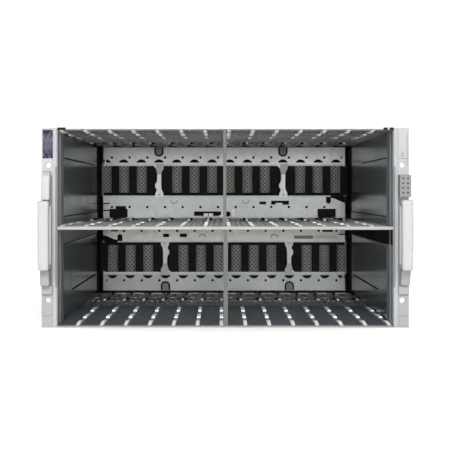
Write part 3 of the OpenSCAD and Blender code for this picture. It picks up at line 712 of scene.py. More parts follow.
# ------------------------------------------------------------------ carrier plates: gaskets, lips, tongues, struts and small fittings
CY0 = CARRIER_Y


def arc(cx, cz, r, a0, a1, n=14):
    return [(cx + r * math.cos(math.radians(a0 + (a1 - a0) * i / n)), cz + r * math.sin(math.radians(a0 + (a1 - a0) * i / n))) for i in range(n + 1)]


b = Build()
# black sheets behind the slotted strips: painted shade seen through the slots
b.box((-0.2150, CY0 + 0.0016, MIDZ + 0.0008), (0.2150, CY0 + 0.0024, WIN_LO - 0.0008))
b.box((-0.2150, CY0 + 0.0016, WIN_HI + 0.0056), (0.2150, CY0 + 0.0024, CEIL_Z - 0.0005))
# dark sheets behind the windows that the struts cross: painted shade
for k in (3, 10):
    b.box((bay(k) + 0.0022, BOARD_Y - 0.0009, WIN_LO + 0.0002), (bay(k) + 0.0178, BOARD_Y - 0.0003, WIN_HI - 0.0002))
turned(b, (0, 0))
b.make("carrier_shade_sheets", [M["black_and_painted_shade"]], slot="black_plastic")

P3, P10 = bay(3) + 0.010, bay(10) + 0.010
for row, tag in ((0, "upper"), (1, "lower")):
    b = Build()
    # folded lips along the window edges, split by the struts
    for x0, x1 in ((-0.2150, P3 - 0.0088), (P3 + 0.0088, P10 - 0.0088), (P10 + 0.0088, 0.2150)):
        b.box((x0, CY0 - 0.0024, WIN_HI), (x1, CY0, WIN_HI + 0.0030), 0)
        b.box((x0, CY0 - 0.0012, WIN_LO - 0.0022), (min(x1, 0.1900), CY0, WIN_LO), 0)
    # dark bar at the foot of the columns: painted shadow along the bottom of the windows
    b.box((-0.2155, CY0 + 0.0032, WIN_LO + 0.0002), (0.2155, CY0 + 0.0046, WIN_LO + 0.0052), 1)
    # tongues in reliefs near the sheet's edge; the dark ring around each tongue is painted shade
    for x in (P3, P10):
        top = CEIL_Z - 0.0012
        b.prism(arc(x, WIN_HI + 0.0250, 0.0084, 180, 360) + [(x + 0.0084, top), (x - 0.0084, top)], 1, CY0 - 0.0004, CY0, 1)
        b.prism(arc(x, WIN_HI + 0.0250, 0.0056, 180, 360) + [(x + 0.0056, top), (x - 0.0056, top)], 1, CY0 - 0.0014, CY0 - 0.0004, 8)
        b.disc((x, CY0 - 0.0018, WIN_HI + 0.0270), 0.0024, 1, 0.0006, 16, 8)
    # half-round pressings below the windows; the darker rim around each is painted shadow
    for x in (-0.0897, 0.0385):
        cz = WIN_LO - 0.0086
        b.prism(arc(x, cz, 0.0066, 180, 360) + arc(x, cz, 0.0044, 360, 180), 1, CY0 - 0.0004, CY0, 4)
        b.prism(arc(x, cz, 0.0044, 180, 360) + [(x + 0.0044, cz + 0.003), (x - 0.0044, cz + 0.003)], 1, CY0 - 0.0010, CY0, 2)
    # ridges of the folded edge strips and the end brackets
    for x in (-0.2120, 0.2120):
        b.box((x - 0.0040, CY0 - 0.0016, MIDZ + 0.0045), (x + 0.0040, CY0, WIN_LO - 0.0160), 0)
        b.box((x - 0.0012, CY0 - 0.0020, WIN_HI + 0.0040), (x + 0.0012, CY0, CEIL_Z - 0.0020), 2)
    for zc in (MIDZ + 0.0265, MIDZ + 0.0140):
        b.box((-0.2168, CY0 - 0.0021, zc), (-0.2045, CY0 - 0.0015, zc + 0.0022), 1)
    # hex standoffs that tie the plate to the board
    for x in (-0.205, -0.070, 0.070, 0.205):
        for z in (MIDZ + 0.022, TOP - 0.015):
            b.prism([(x + 0.0030 * math.cos(math.radians(60 * q)), z + 0.0030 * math.sin(math.radians(60 * q))) for q in range(6)], 1, CY0 - 0.0008, CY0, 2)
    if row == 0:
        # white inserts of the central connector and the small keeper beside the round relief
        b.box((-0.0365, CY0 - 0.0012, MIDZ + 0.0054), (-0.0290, CY0 + 0.0014, MIDZ + 0.0098), 5)
        b.box((-0.0275, CY0 - 0.0012, MIDZ + 0.0054), (-0.0200, CY0 + 0.0014, MIDZ + 0.0098), 5)
        b.box((-0.0540, CY0 - 0.0014, MIDZ + 0.0134), (-0.0056, CY0, MIDZ + 0.0144), 2)
        b.box((0.0146, CY0 - 0.0030, MIDZ + 0.0035), (0.0186, CY0, MIDZ + 0.0180), 5)
        b.box((-0.0085, CY0 - 0.0022, MIDZ + 0.0040), (0.0020, CY0, MIDZ + 0.0066), 5)
    else:
        # bare label and a grey strip of painted shadow beside it, in the frame of the upper row
        b.box((-0.2015, CY0 - 0.0006, WIN_LO - 0.0126), (-0.1610, CY0, WIN_LO - 0.0055), 6)
        b.box((-0.1590, CY0 - 0.0010, WIN_LO - 0.0120), (-0.1250, CY0, WIN_LO - 0.0062), 7)
    mats = [M["lip"], M["black_and_painted_shade"], M["galv_up" if row == 0 else "galv_low"], M["screw"], M["rail_dim"], M["white_part"], M["label"], M["label_grey"], M["tongue"]]
    if row:
        b.v = [(-x, y, 2 * MIDZ - z) for x, y, z in b.v]
    b.make("carrier_fittings_" + tag, mats, slot="zinc_sheet", bevel=0.0002)

b = Build()
for x in (-0.1887, 0.1830):
    b.box((x - 0.0150, CY0 - 0.0040, MIDZ + 0.0014), (x + 0.0130, CY0, MIDZ + 0.0033), 3)
for x in (P3, P10):
    w = [(-0.0070, WIN_LO - 0.0022), (0.0086, WIN_LO - 0.0022), (0.0080, WIN_LO + 0.0040), (0.0050, WIN_LO + 0.0105), (0.0042, WIN_LO + 0.0180), (0.0042, WIN_HI - 0.0150),
         (-0.0032, WIN_HI - 0.0150), (-0.0032, WIN_LO + 0.0280), (-0.0044, WIN_LO + 0.0235), (-0.0068, WIN_LO + 0.0205), (-0.0070, WIN_LO + 0.0150), (-0.0046, WIN_LO + 0.0120), (-0.0042, WIN_LO + 0.0085), (-0.0064, WIN_LO + 0.0040)]
    b.prism([(x + p, q) for p, q in w], 1, CY0 - 0.0019, CY0 - 0.0001, 0)
    n = [(-0.0032, WIN_HI - 0.0150), (0.0042, WIN_HI - 0.0150), (0.0056, WIN_HI - 0.0095), (0.0084, WIN_HI - 0.0050), (0.0086, WIN_HI + 0.0040), (-0.0060, WIN_HI + 0.0040), (-0.0066, WIN_HI - 0.0030), (-0.0046, WIN_HI - 0.0085)]
    b.prism([(x + p, q) for p, q in n], 1, CY0 - 0.0016, CY0 - 0.0001, 1)
    b.prism(arc(x - 0.0066, WIN_HI - 0.0006, 0.0022, 0, 360, 16)[:-1], 1, CY0 - 0.0028, CY0 - 0.0010, 0)
    b.disc((x + 0.0010, CY0 - 0.0026, WIN_LO + 0.0016), 0.0018, 1, 0.0008, 14, 1)
upper = len(b.m)
turned(b, (0, 0))
# the waists of the upper struts are lighter than those below
b.m[:upper] = [4 if m == 0 else m for m in b.m[:upper]]
b.make("carrier_struts", [M["strut"], M["strut_grey"], M["screw"], M["black"], M["strut_lighter"]], slot="white_plastic", replaces=["carrier_pillars"], bevel=0.0005)

# ------------------------------------------------------------------ liner fittings
b = Build()
for s in (-1, 1):
    x = s * IN_X

    def slab(y0, y1, z0, z1, t, mat):
        xa, xb = sorted((x, x - s * t))
        b.box((xa, FRONT + y0, z0), (xb, FRONT + y1, z1), mat)
    # front strips with their folded edge
    slab(0.0026, 0.066, FLOOR_Z, SHELF_LO - 0.0008, 0.0010, 0)
    slab(0.0026, 0.066, SHELF_HI + 0.0008, CEIL_Z, 0.0010, 0)
    slab(0.0240, 0.0330, FLOOR_Z, SHELF_LO - 0.0008, 0.0015, 4)
    slab(0.0240, 0.0330, SHELF_HI + 0.0008, CEIL_Z, 0.0015, 4)
    # flanges beside the shelf, and the line under them
    slab(0.067, 0.534, SHELF_HI + 0.0008, 0.1440, 0.0009, 1)
    slab(0.067, 0.534, 0.1440, 0.1456, 0.0003, 3)
    # under the shelf the flange is mid-grey on the left; on the right it is black, painted shadow under the shelf
    slab(0.067, 0.534, 0.1080, SHELF_LO - 0.0008, 0.0009, 2 if s < 0 else 3)
    slab(0.067, 0.534, 0.1064, 0.1080, 0.0003, 3)
    if s > 0:
        slab(0.067, 0.534, 0.1046, 0.1060, 0.0008, 2)
        # black front piece on the right: painted shadow under the shelf
        slab(0.0028, 0.067, 0.1080, SHELF_LO - 0.0008, 0.0013, 3)
    # long slots
    slab(0.170, 0.515, 0.0362, 0.0388, 0.0003, 3)
    slab(*((0.068, 0.500) if s < 0 else (0.068, 0.380)), 0.2240, 0.2258, 0.0003, 3)
b.make("liner_edges", [M["slate_strip"], M["slate"], M["slate_mid"], M["black_and_painted_shade"], M["strip_fold"]], slot="slate_sheet", bevel=0.0003)
b = Build()
for s in (-1, 1):
    # black sheets on the side walls from the liners' ends to the carriers: painted shade
    xa, xb = sorted((s * (IN_X + 0.0003), s * (IN_X + 0.00095)))
    b.box((xa, FRONT + 0.536, FLOOR_Z), (xb, BOARD_Y + 0.02, CEIL_Z), 0)
    # foam in the corners behind the ears
    for z0, z1 in ((CEIL_Z + 0.0003, TOP + 0.0010),):
        for x0, x1 in (((0.2105, 0.2208),) if s < 0 else ((0.2165, 0.2215), (0.2085, 0.2135))):
            xa, xb = sorted((s * x0, s * x1))
            b.box((xa, FRONT + 0.0005, z0), (xb, FRONT + 0.012, z1), 0)
# dark strips where the ceiling and floor meet the carriers: painted shadow
for z0, z1 in ((CEIL_Z - 0.0007, CEIL_Z), (FLOOR_Z, FLOOR_Z + 0.0007)):
    b.box((-0.2210, FRONT + 0.552, z0), (0.2210, CY0 - 0.0003, z1), 0)
b.make("edge_shade_and_foam", [M["black_and_painted_shade"]], slot="black_plastic")

# sill in front of the floor plate and the bottom pan
b = Build()
b.box((-IN_X + 0.0004, FRONT + 0.0004, 0.0013), (IN_X - 0.0004, FRONT + 0.0024, 0.0026), 0)
b.box((-IN_X + 0.0004, FRONT + 0.0003, 0.0002), (IN_X - 0.0004, FRONT + 0.0024, 0.0013), 1)
b.make("front_sill", [M["lip_fold"], M["ear_grey"]], slot="slate_sheet", bevel=0.0002)

# ------------------------------------------------------------------ handles
def rounded(p, r, n, keep=()):
    """Outline with its corners rounded, except the kept ones."""
    out = []
    c = len(p)
    for i in range(c):
        a, q, e = Vector(p[i - 1]), Vector(p[i]), Vector(p[(i + 1) % c])
        if i in keep:
            out.append(tuple(q))
            continue
        l = min(r, (a - q).length * 0.45, (e - q).length * 0.45)
        s1, s2 = q + (a - q).normalized() * l, q + (e - q).normalized() * l
        for t in range(n + 1):
            u = t / n
            out.append(tuple(s1 * (1 - u) ** 2 + q * 2 * u * (1 - u) + s2 * u * u))
    return out


def inset(p, d):
    """Outline moved inwards by d; the points run anticlockwise."""
    out = []
    c = len(p)
    for i in range(c):
        a, q, e = Vector(p[i - 1]), Vector(p[i]), Vector(p[(i + 1) % c])
        u, w = (q - a).normalized(), (e - q).normalized()
        n1, n2 = Vector((-u.y, u.x)), Vector((-w.y, w.x))
        k = max(0.35, 1 + n1.dot(n2))
        out.append(tuple(q + (n1 + n2) * (d / k)))
    return out


def soft_prism(b, p, x0, x1, r, mat=0, steps=3):
    """Prism along X with rounded edges at both ends."""
    area = sum(p[i][0] * p[(i + 1) % len(p)][1] - p[(i + 1) % len(p)][0] * p[i][1] for i in range(len(p)))
    if area < 0:
        p = p[::-1]
    rings = []
    for end in (0, 1):
        for t in range(steps + 1):
            th = math.pi / 2 * (t if end == 0 else steps - t) / steps
            q = inset(p, r * (1 - math.sin(th)))
            x = x0 + r * (1 - math.cos(th)) if end == 0 else x1 - r * (1 - math.cos(th))
            rings.append([b.p(x, y, z, weld=False) for y, z in q])
    n = len(p)
    for k in range(len(rings) - 1):
        for i in range(n):
            j = (i + 1) % n
            b.face((rings[k][i], rings[k][j], rings[k + 1][j], rings[k + 1][i]), mat)
    b.face(rings[0][::-1], mat)
    b.face(rings[-1], mat)


GRIP = 0.042


def handle(name, node, s, low, upper):
    """Deep grip on two shallower feet; the outlines are (depth, height)."""
    b = Build()
    o, t = EAR_X - 0.0002, EAR_X - 0.0124
    # outline, rounding in the outline, kept corners, rounding at the ends, material, outer and inner X
    parts = [([(GRIP - 0.0090, 0.0767), (GRIP, 0.0767), (GRIP, upper[0]), (GRIP - 0.0090, upper[0])], 0.0034, (), 0.0026, 0, o, EAR_X - 0.0144),
             ([(0.0, 0.0767), (GRIP - 0.0070, 0.0767), (GRIP - 0.0070, 0.0820), (0.0, 0.0820)], 0.0012, (0, 1, 2, 3), 0.0014, 0, o, t),
             ([(0.0, 0.1610), (GRIP - 0.0070, 0.1610), (GRIP - 0.0070, upper[0]), (0.0, upper[0])], 0.0012, (0, 1, 2, 3), 0.0014, 0, o, t),
             # the foot uses the darker copy: painted shade
             ([(0.0, 0.0555), (low, 0.0555), (0.022, 0.0762), (0.0, 0.0762)], 0.0025, (0, 3), 0.0020, 1, o, t)]
    if len(upper) > 1:
        # the upper block uses the lighter copy: painted light
        parts.append(([(0.0, upper[0] + 0.0005)] + [(d, z) for d, z in upper[1:]], 0.0030, (0, len(upper) - 1), 0.0020, 2, EAR_X - 0.0014, t))
    for p, rr, keep, r, m, xo, xi in parts:
        xa, xb = sorted((s * xo, s * xi))
        soft_prism(b, [(FRONT - d, z) for d, z in rounded(p, rr, 4, keep=keep)], xa, xb, r, m)
    # raised face on the grip
    zt = upper[0] - 0.0060
    f0, f1 = sorted((s * (EAR_X - 0.0028), s * (EAR_X - 0.0118)))
    b.box((f0, FRONT - GRIP - 0.0004, 0.0850), (f1, FRONT - GRIP + 0.0010, zt), 0)
    return b.make(name, [M["handle"], M["handle_foot_painted_shade"], M["handle_top"]], slot="ear_white", replaces=[node], smooth=30)


import bmesh


def fix_normals(o):
    bm = bmesh.new()
    bm.from_mesh(o.data)
    bmesh.ops.recalc_face_normals(bm, faces=bm.faces)
    bm.to_mesh(o.data)
    bm.free()


for o in (handle("handle_left", "ear_handle_left", -1, 0.019, [0.1665, (0.019, 0.1670), (0.015, 0.199), (0.009, 0.2045), (0.0, 0.206)]),
          handle("handle_right", "ear_handle_right", 1, 0.012, [0.168])):
    fix_normals(o)

# ------------------------------------------------------------------ ear trims
def plate_hole(b, x0, x1, z0, z1, y0, y1, cx, cz, r, mat=0, n=24):
    """A small plate in the ear's plane with a round hole."""
    ring_i, ring_o = [], []
    for q in range(n):
        t = 2 * math.pi * (q + 0.5) / n
        c, d = math.cos(t), math.sin(t)
        k = min((x1 - cx) / c if c > 1e-9 else 9, (x0 - cx) / c if c < -1e-9 else 9, (z1 - cz) / d if d > 1e-9 else 9, (z0 - cz) / d if d < -1e-9 else 9)
        ring_i.append((cx + r * c, cz + r * d))
        ring_o.append([cx + k * c, cz + k * d])
    for X, Z in ((x0, z0), (x1, z0), (x1, z1), (x0, z1)):
        j = min(range(n), key=lambda q: (ring_o[q][0] - X) ** 2 + (ring_o[q][1] - Z) ** 2)
        ring_o[j] = [X, Z]
    vi = {y: [b.p(x, y, z, False) for x, z in ring_i] for y in (y0, y1)}
    vo = {y: [b.p(x, y, z, False) for x, z in ring_o] for y in (y0, y1)}
    for q in range(n):
        m = (q + 1) % n
        b.face((vo[y0][q], vo[y0][m], vi[y0][m], vi[y0][q]), mat)
        b.face((vo[y1][m], vo[y1][q], vi[y1][q], vi[y1][m]), mat)
        b.face((vo[y1][q], vo[y1][m], vo[y0][m], vo[y0][q]), mat)
        b.face((vi[y1][m], vi[y1][q], vi[y0][q], vi[y0][m]), mat)


HOLES = (0.03575, 0.21355)
for s, tag in ((-1, "left"), (1, "right")):
    b = Build()
    yf = FRONT

    def trim(x0, x1, z0, z1, t, mat, hole=None):
        xa, xb = sorted((s * x0, s * x1))
        if hole is None:
            b.box((xa, yf - t, z0), (xb, yf, z1), mat)
        else:
            plate_hole(b, xa, xb, z0, z1, yf - t, yf, s * 0.23255, hole, 0.0039, mat)
    # bright inner lip of the ear, full height
    trim(0.2216, 0.2268, 0.0010, TOP - 0.0010, 0.0007, 0)
    # darker strip along the edge of the opening beside the handle
    trim(0.2207, 0.2233, 0.0530, 0.2115, 0.0009, 5)
    # lighter patch behind the grip: painted light on the ear in the grip's shade
    trim(0.2291, 0.2350, 0.0830, 0.1600, 0.0006, 6)
    # dark line between the lip and the handle: painted shadow at the handle's base
    trim(0.2273, 0.2290, 0.0540, 0.2000 if s < 0 else 0.1715, 0.00015, 1)
    # lower cover: three blocks, the middle one around the rack hole, in the darker copy of the ear paint: painted shade
    # on the lower part of the ear
    trim(0.2272, EAR_X - 0.0004, 0.0010, 0.0150, 0.0011, 2)
    trim(0.2272, EAR_X - 0.0004, 0.0158, 0.0432, 0.0011, 2, HOLES[0])
    trim(0.2272, EAR_X - 0.0004, 0.0440, 0.0548, 0.0060, 2)
    # upper covers in the lighter copy of the ear paint: painted light on the upper part of the ear
    if s < 0:
        trim(0.2272, EAR_X - 0.0004, 0.2008, 0.2222, 0.0011, 3, HOLES[1])
    else:
        trim(0.2272, EAR_X - 0.0004, 0.2008, 0.2215, 0.0011, 3, HOLES[1])
        trim(0.2272, EAR_X - 0.0004, 0.2223, TOP - 0.0010, 0.0011, 3)
        # two small raised marks and the edge moulding
        trim(0.2312, 0.2342, 0.2240, 0.2310, 0.0014, 2)
        trim(0.2382, 0.2400, 0.2130, TOP - 0.0060, 0.0014, 2)
        # dark inlays of the marker plate
        for i in range(4):
            for x in (0.2310, 0.2372):
                z = 0.1760 + 0.0062 * i
                b.box((x - 0.00115, FRONT - 0.02015, z + 0.00005), (x + 0.00115, FRONT - 0.0193, z + 0.00235), 4)
    b.make("ear_trim_" + tag, [M["ear_lip"], M["seam"], M["ear_grey"], M["ear_pale_painted_light"], M["marker_dot"], M["lip_fold"], M["seat"]], slot="ear_silver", bevel=0.0003)

# ------------------------------------------------------------------ shapes shared by the outer skin and the rear modules
def lathe(b, c, axis, prof, n=12, mat=0, sign=1, loop=False, turn=0.0):
    """Turned solid; prof is (radius, height) from the base rim inwards, closed by a cap at each end or on itself."""
    o = [i for i in range(3) if i != axis]
    rings = []
    for r, h in prof:
        ring = []
        for i in range(n):
            a = 2 * math.pi * i / n + turn
            q = [0.0, 0.0, 0.0]
            q[o[0]], q[o[1]], q[axis] = c[o[0]] + r * math.cos(a), c[o[1]] + r * math.sin(a), c[axis] + sign * h
            ring.append(b.p(*q, weld=False))
        rings.append(ring)
    pairs = list(zip(rings, rings[1:])) + ([(rings[-1], rings[0])] if loop else [])
    for p, q in pairs:
        for i in range(n):
            j = (i + 1) % n
            b.face((p[i], p[j], q[j], q[i]), mat)
    if not loop:
        b.face(rings[0][::-1], mat)
        b.face(rings[-1], mat)


def screw(b, c, axis, r, h, sign=1, mat=0, n=14):
    """Pan head with a socket."""
    lathe(b, c, axis, [(r, 0.0), (r, h * 0.45), (r * 0.88, h * 0.88), (r * 0.72, h), (r * 0.42, h), (r * 0.40, h * 0.35)], n, mat, sign)


def bead(b, c0, along, across, up, a0, a1, base, w, h, mat=0, sign=1, n=8, caps=4):
    """Pressed stiffening bead with rounded ends."""
    st = [(a0 + w * (1 - math.cos(math.pi / 2 * i / caps)), max(0.05, math.sin(math.pi / 2 * i / caps))) for i in range(caps + 1)]
    st += [(a1 - (a - a0), f) for a, f in reversed(st)]
    rings = []
    for a, f in st:
        ring = []
        for i in range(n + 1):
            u = -1 + 2 * i / n
            q = [0.0, 0.0, 0.0]
            q[along], q[across], q[up] = a, c0 + w * f * u, base + sign * h * f * max(0.0, math.cos(math.pi / 2 * u)) ** 0.8
            ring.append(b.p(*q, weld=False))
        rings.append(ring)
    for p, q in zip(rings, rings[1:]):
        for i in range(n):
            b.face((p[i], p[i + 1], q[i + 1], q[i]), mat)
        b.face((p[n], p[0], q[0], q[n]), mat)
    b.face(rings[0], mat)
    b.face(rings[-1][::-1], mat)


def ring_tube(b, cx, cz, y, R, r, n=40, m=6, mat=0):
    """Wire ring in the plane of a module's face."""
    rows = []
    for i in range(n):
        a = 2 * math.pi * i / n
        rows.append([b.p(cx + (R + r * math.cos(2 * math.pi * j / m)) * math.cos(a), y + r * math.sin(2 * math.pi * j / m),
                         cz + (R + r * math.cos(2 * math.pi * j / m)) * math.sin(a), False) for j in range(m)])
    for i in range(n):
        p, q = rows[i], rows[(i + 1) % n]
        for j in range(m):
            k = (j + 1) % m
            b.face((p[j], q[j], q[k], p[k]), mat)


def plate(b, x0, x1, z0, z1, t, mat=0, y=None):
    """Flat plate on a rear face."""
    y = BACK if y is None else y
    b.box((x0, y, z0), (x1, y + t, z1), mat)


def rear_mesh(b, x0, x1, z0, z1, cell, hole, y0, y1, mat=0, shade_sheet=1):
    """Perforated plate on a rear face with a dark sheet behind it: painted shade seen through the holes."""
    nx, nz = max(1, round((x1 - x0) / cell)), max(1, round((z1 - z0) / cell))
    b.key.clear()
    perforated(b, frange(x0, x1, nx), frange(z0, z1, nz), y0, y1, lambda i, j: (hole, hole), to=lambda x, y, z: (x, z, y), mat=mat)
    b.box((x0 + 0.0003, y0 - 0.0001, z0 + 0.0003), (x1 - 0.0003, y0 + 0.0001, z1 - 0.0003), shade_sheet)
    b.key.clear()


def lamp(b, x, z, y, r, shell, glass):
    lathe(b, (x, y, z), 1, [(r * 1.5, 0.0), (r * 1.5, 0.0005), (r * 1.1, 0.0007), (r * 1.05, 0.0003)], 14, shell)
    lathe(b, (x, y, z), 1, [(r, 0.0), (r, 0.0006), (r * 0.8, 0.0010), (r * 0.3, 0.0012)], 14, glass)


# ------------------------------------------------------------------ outer skin
SIDE_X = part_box("side_wall_right")[1][0]
b = Build()
# two cover panels with a seam between them
for y0, y1 in ((FRONT + 0.0640, 0.1280), (0.1320, BACK - 0.0700)):
    b.box((-SIDE_X + 0.0014, y0, TOP - 0.0002), (SIDE_X - 0.0014, y1, TOP + 0.0006), 0)
    for x in (-SIDE_X + 0.0034, SIDE_X - 0.0034):
        bead(b, x, 1, 0, 2, y0 + 0.004, y1 - 0.004, TOP + 0.0005, 0.0012, 0.0009, 0, n=4, caps=2)
for x in (-0.175, -0.105, -0.035, 0.035, 0.105, 0.175):
    bead(b, x, 1, 0, 2, FRONT + 0.110, 0.090, TOP + 0.0004, 0.0075, 0.0020, 0, n=10, caps=6)
for y in (0.175, 0.235, 0.295):
    bead(b, y, 0, 1, 2, -0.185, 0.185, TOP + 0.0004, 0.0070, 0.0020, 0, n=10, caps=6)
# rim around the hand-hold slots
for s in (-1, 1):
    x0, x1, y0, y1 = s * 0.150 - 0.030, s * 0.150 + 0.030, BACK - 0.060, BACK - 0.048
    for lo, hi in (((x0 - 0.004, y0 - 0.004), (x1 + 0.004, y0)), ((x0 - 0.004, y1), (x1 + 0.004, y1 + 0.004)), ((x0 - 0.004, y0), (x0, y1)), ((x1, y0), (x1 + 0.004, y1))):
        b.box((*lo, TOP - 0.0002), (*hi, TOP + 0.0009), 3)
# countersunk screws and two quarter-turn catches at the seam
for x in (-0.205, -0.070, 0.070, 0.205):
    for y in (FRONT + 0.078, -0.160, 0.118, 0.142, BACK - 0.080):
        screw(b, (x, y, TOP + 0.0004), 2, 0.0032, 0.0012, 1, 1)
for x in (-0.138, 0.138):
    lathe(b, (x, 0.130, TOP + 0.0002), 2, [(0.0095, 0.0), (0.0095, 0.0016), (0.0085, 0.0022), (0.0060, 0.0022), (0.0056, 0.0014)], 24, 3)
    b.box((x - 0.0062, 0.1288, TOP + 0.0010), (x + 0.0062, 0.1312, TOP + 0.0028), 1)
# bare labels
b.box((-0.020, -0.300, TOP + 0.0005), (0.020, -0.230, TOP + 0.0008), 2)
b.box((0.055, 0.195, TOP + 0.0005), (0.155, 0.222, TOP + 0.0008), 2)
o = b.make("cover_panels", [M["cover"], M["screw"], M["label"], M["frame_edge"]], slot="zinc_sheet", bevel=0.00025)
fix_normals(o)

b = Build()
for s in (-1, 1):
    def flat(y0, y1, z0, z1, t, mat, base=0.0):
        xa, xb = sorted((s * (SIDE_X - 0.0002 + base), s * (SIDE_X + t)))
        b.box((xa, y0, z0), (xb, y1, z1), mat)
    # flange of the covers over the side skin, and the seam strip of the bottom pan
    flat(FRONT + 0.0625, 0.1285, TOP - 0.0185, TOP - 0.0004, 0.00045, 0)
    flat(0.1315, BACK - 0.0008, TOP - 0.0185, TOP - 0.0004, 0.00045, 0)
    flat(FRONT + 0.0625, BACK - 0.0008, 0.0004, 0.0185, 0.00045, 0)
    # stiffening beads beside the bays, and a rail land along the middle
    for z in (0.060, 0.095, 0.167, 0.202):
        bead(b, z, 1, 2, 0, FRONT + 0.105, 0.195, s * (SIDE_X - 0.0001), 0.0065, 0.0017, 0, s, n=10, caps=6)
    flat(FRONT + 0.075, BACK - 0.012, 0.1235, 0.1385, 0.0005, 0)
    # rivets of the bay frame and the midplane frame
    for y in (FRONT + 0.078, CARRIER_Y + 0.012, CARRIER_Y + 0.032):
        for k in range(8):
            z = 0.030 + k * 0.0289
            if abs(z - MIDZ) > 0.010:
                lathe(b, (s * (SIDE_X - 0.0001), y, z), 0, [(0.0022, 0.0), (0.0021, 0.0005), (0.0015, 0.0009), (0.0006, 0.0011)], 10, 1, s)
    flat(-0.120, -0.040, 0.1060, 0.1200, 0.00025, 2)
o = b.make("side_trims", [M["side_panel"], M["screw"], M["label"]], slot="zinc_sheet", bevel=0.0002)
fix_normals(o)

b = Build()
Y_FAST = [FRONT + 0.090 + 0.130 * i for i in range(7)]
for s in (-1, 1):
    for y in Y_FAST:
        for z in (0.010, MIDZ, TOP - 0.010):
            screw(b, (s * (SIDE_X - 0.0001), y, z), 0, 0.0035, 0.0013, s, 0)
    for z in (0.025, 0.095, 0.165, 0.235):
        screw(b, (s * (SIDE_X + 0.0009), FRONT + 0.045, z), 0, 0.0035, 0.0013, s, 0)
o = b.make("screw_heads", [M["screw"]], slot="screw_steel", replaces=["fasteners"], smooth=25)
fix_normals(o)

# ------------------------------------------------------------------ rear frame edges
b = Build()
yb0, yb1 = BACK - 0.0016, BACK + 0.0005
SH = [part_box("rear_shelves")[0][2], 0.1304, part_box("rear_shelves")[1][2] - 0.0012]
LX = SIDE_X - 0.0010
for s in (-1, 1):
    xa, xb = sorted((s * (SIDE_X - 0.0020), s * (SIDE_X + 0.0003)))
    b.box((xa, yb0, 0.0), (xb, yb1, TOP), 0)
b.box((-LX, yb0, TOP - 0.0020), (LX, yb1, TOP + 0.0003), 0)
b.box((-LX, yb0, 0.0), (LX, yb1, 0.0019), 0)
for z in SH:
    b.box((-LX + 0.0010, yb0 - 0.0010, z - 0.0002), (LX - 0.0010, yb1 - 0.0002, z + 0.0014), 0)
for z0, z1, xs in ((0.0019, SH[0] - 0.0002, (-0.1115, 0.0, 0.1115)), (SH[0] + 0.0014, SH[1] - 0.0002, (0.0,)), (SH[1] + 0.0014, SH[2] - 0.0002, (0.0,)), (SH[2] + 0.0014, TOP - 0.0020, (-0.1115, 0.0, 0.1115))):
    for x in xs:
        b.box((x - 0.0008, yb0 - 0.0010, z0), (x + 0.0008, yb1 - 0.0002, z1), 0)
b.make("rear_frame_edges", [M["frame_edge"]], slot="zinc_sheet", bevel=0.0003)


# ------------------------------------------------------------------ fans
def impeller(name, node, body, cx, cz, fr, turn):
    """Seven swept blades on a cupped hub."""
    b = Build()
    hub, y0 = fr * 0.38, BACK - 0.009
    lathe(b, (cx, y0, cz), 1, [(0.0031, -0.0188), (hub * 0.97, -0.0188), (hub, -0.0176), (hub, -0.0024), (hub - 0.0008, -0.0008), (hub - 0.0026, -0.0001),
                               (hub * 0.66, -0.0001), (hub * 0.62, -0.0007), (0.0052, -0.0007), (0.0048, -0.0002), (0.0031, -0.0002)], 40, 0, 1, True)
    # bare sticker on the hub
    lathe(b, (cx, y0, cz), 1, [(0.0056, -0.0008), (0.0056, -0.00045), (hub * 0.58, -0.00045), (hub * 0.58, -0.0008)], 32, 1, 1, True)
    nu, nv, ym = 6, 8, BACK - 0.0185
    r0, r1 = hub * 0.975, fr - 0.0021
    for k in range(7):
        t0 = 2 * math.pi * k / 7 + turn
        grid = {}
        for side in (0, 1):
            for i in range(nu + 1):
                u = i / nu
                r = r0 + (r1 - r0) * u
                for j in range(nv + 1):
                    v = -1 + 2 * j / nv
                    th = t0 + 0.34 * u * u + v * (0.43 - 0.06 * u) + 0.05 * u * (1 - v * v)
                    hd = 0.0078 - 0.0016 * u
                    th_ = 0.0010 * (1 - 0.8 * v ** 4) * (1 - 0.25 * u) + 0.00012
                    y = ym + v * hd + 0.0016 * (1 - v * v) * (0.6 + 0.4 * u) + (th_ if side else -th_)
                    grid[side, i, j] = b.p(cx + r * math.cos(th), y, cz + r * math.sin(th), False)
        for i in range(nu):
            for j in range(nv):
                b.face((grid[1, i, j], grid[1, i + 1, j], grid[1, i + 1, j + 1], grid[1, i, j + 1]), 0)
                b.face((grid[0, i, j], grid[0, i, j + 1], grid[0, i + 1, j + 1], grid[0, i + 1, j]), 0)
        for i in range(nu):
            for j in (0, nv):
                q = (grid[0, i, j], grid[0, i + 1, j], grid[1, i + 1, j], grid[1, i, j])
                b.face(q if j == 0 else q[::-1], 0)
        for j in range(nv):
            for i in (0, nu):
                q = (grid[0, i, j], grid[1, i, j], grid[1, i, j + 1], grid[0, i, j + 1])
                b.face(q if i == 0 else q[::-1], 0)
    o = b.make(name, [M["rotor"], M["label_grey"]], body=body, slot="black_plastic", replaces=[node], smooth=35)
    fix_normals(o)


def sleeve(b, cx, z0, z1, mat):
    """Soft grip around the bar of a pull handle."""
    y0, y1 = BACK + 0.0262, BACK + 0.0357
    soft_prism(b, rounded([(y0, z0), (y1, z0), (y1, z1), (y0, z1)], 0.0020, 3), cx - 0.0048, cx + 0.0048, 0.0016, mat)


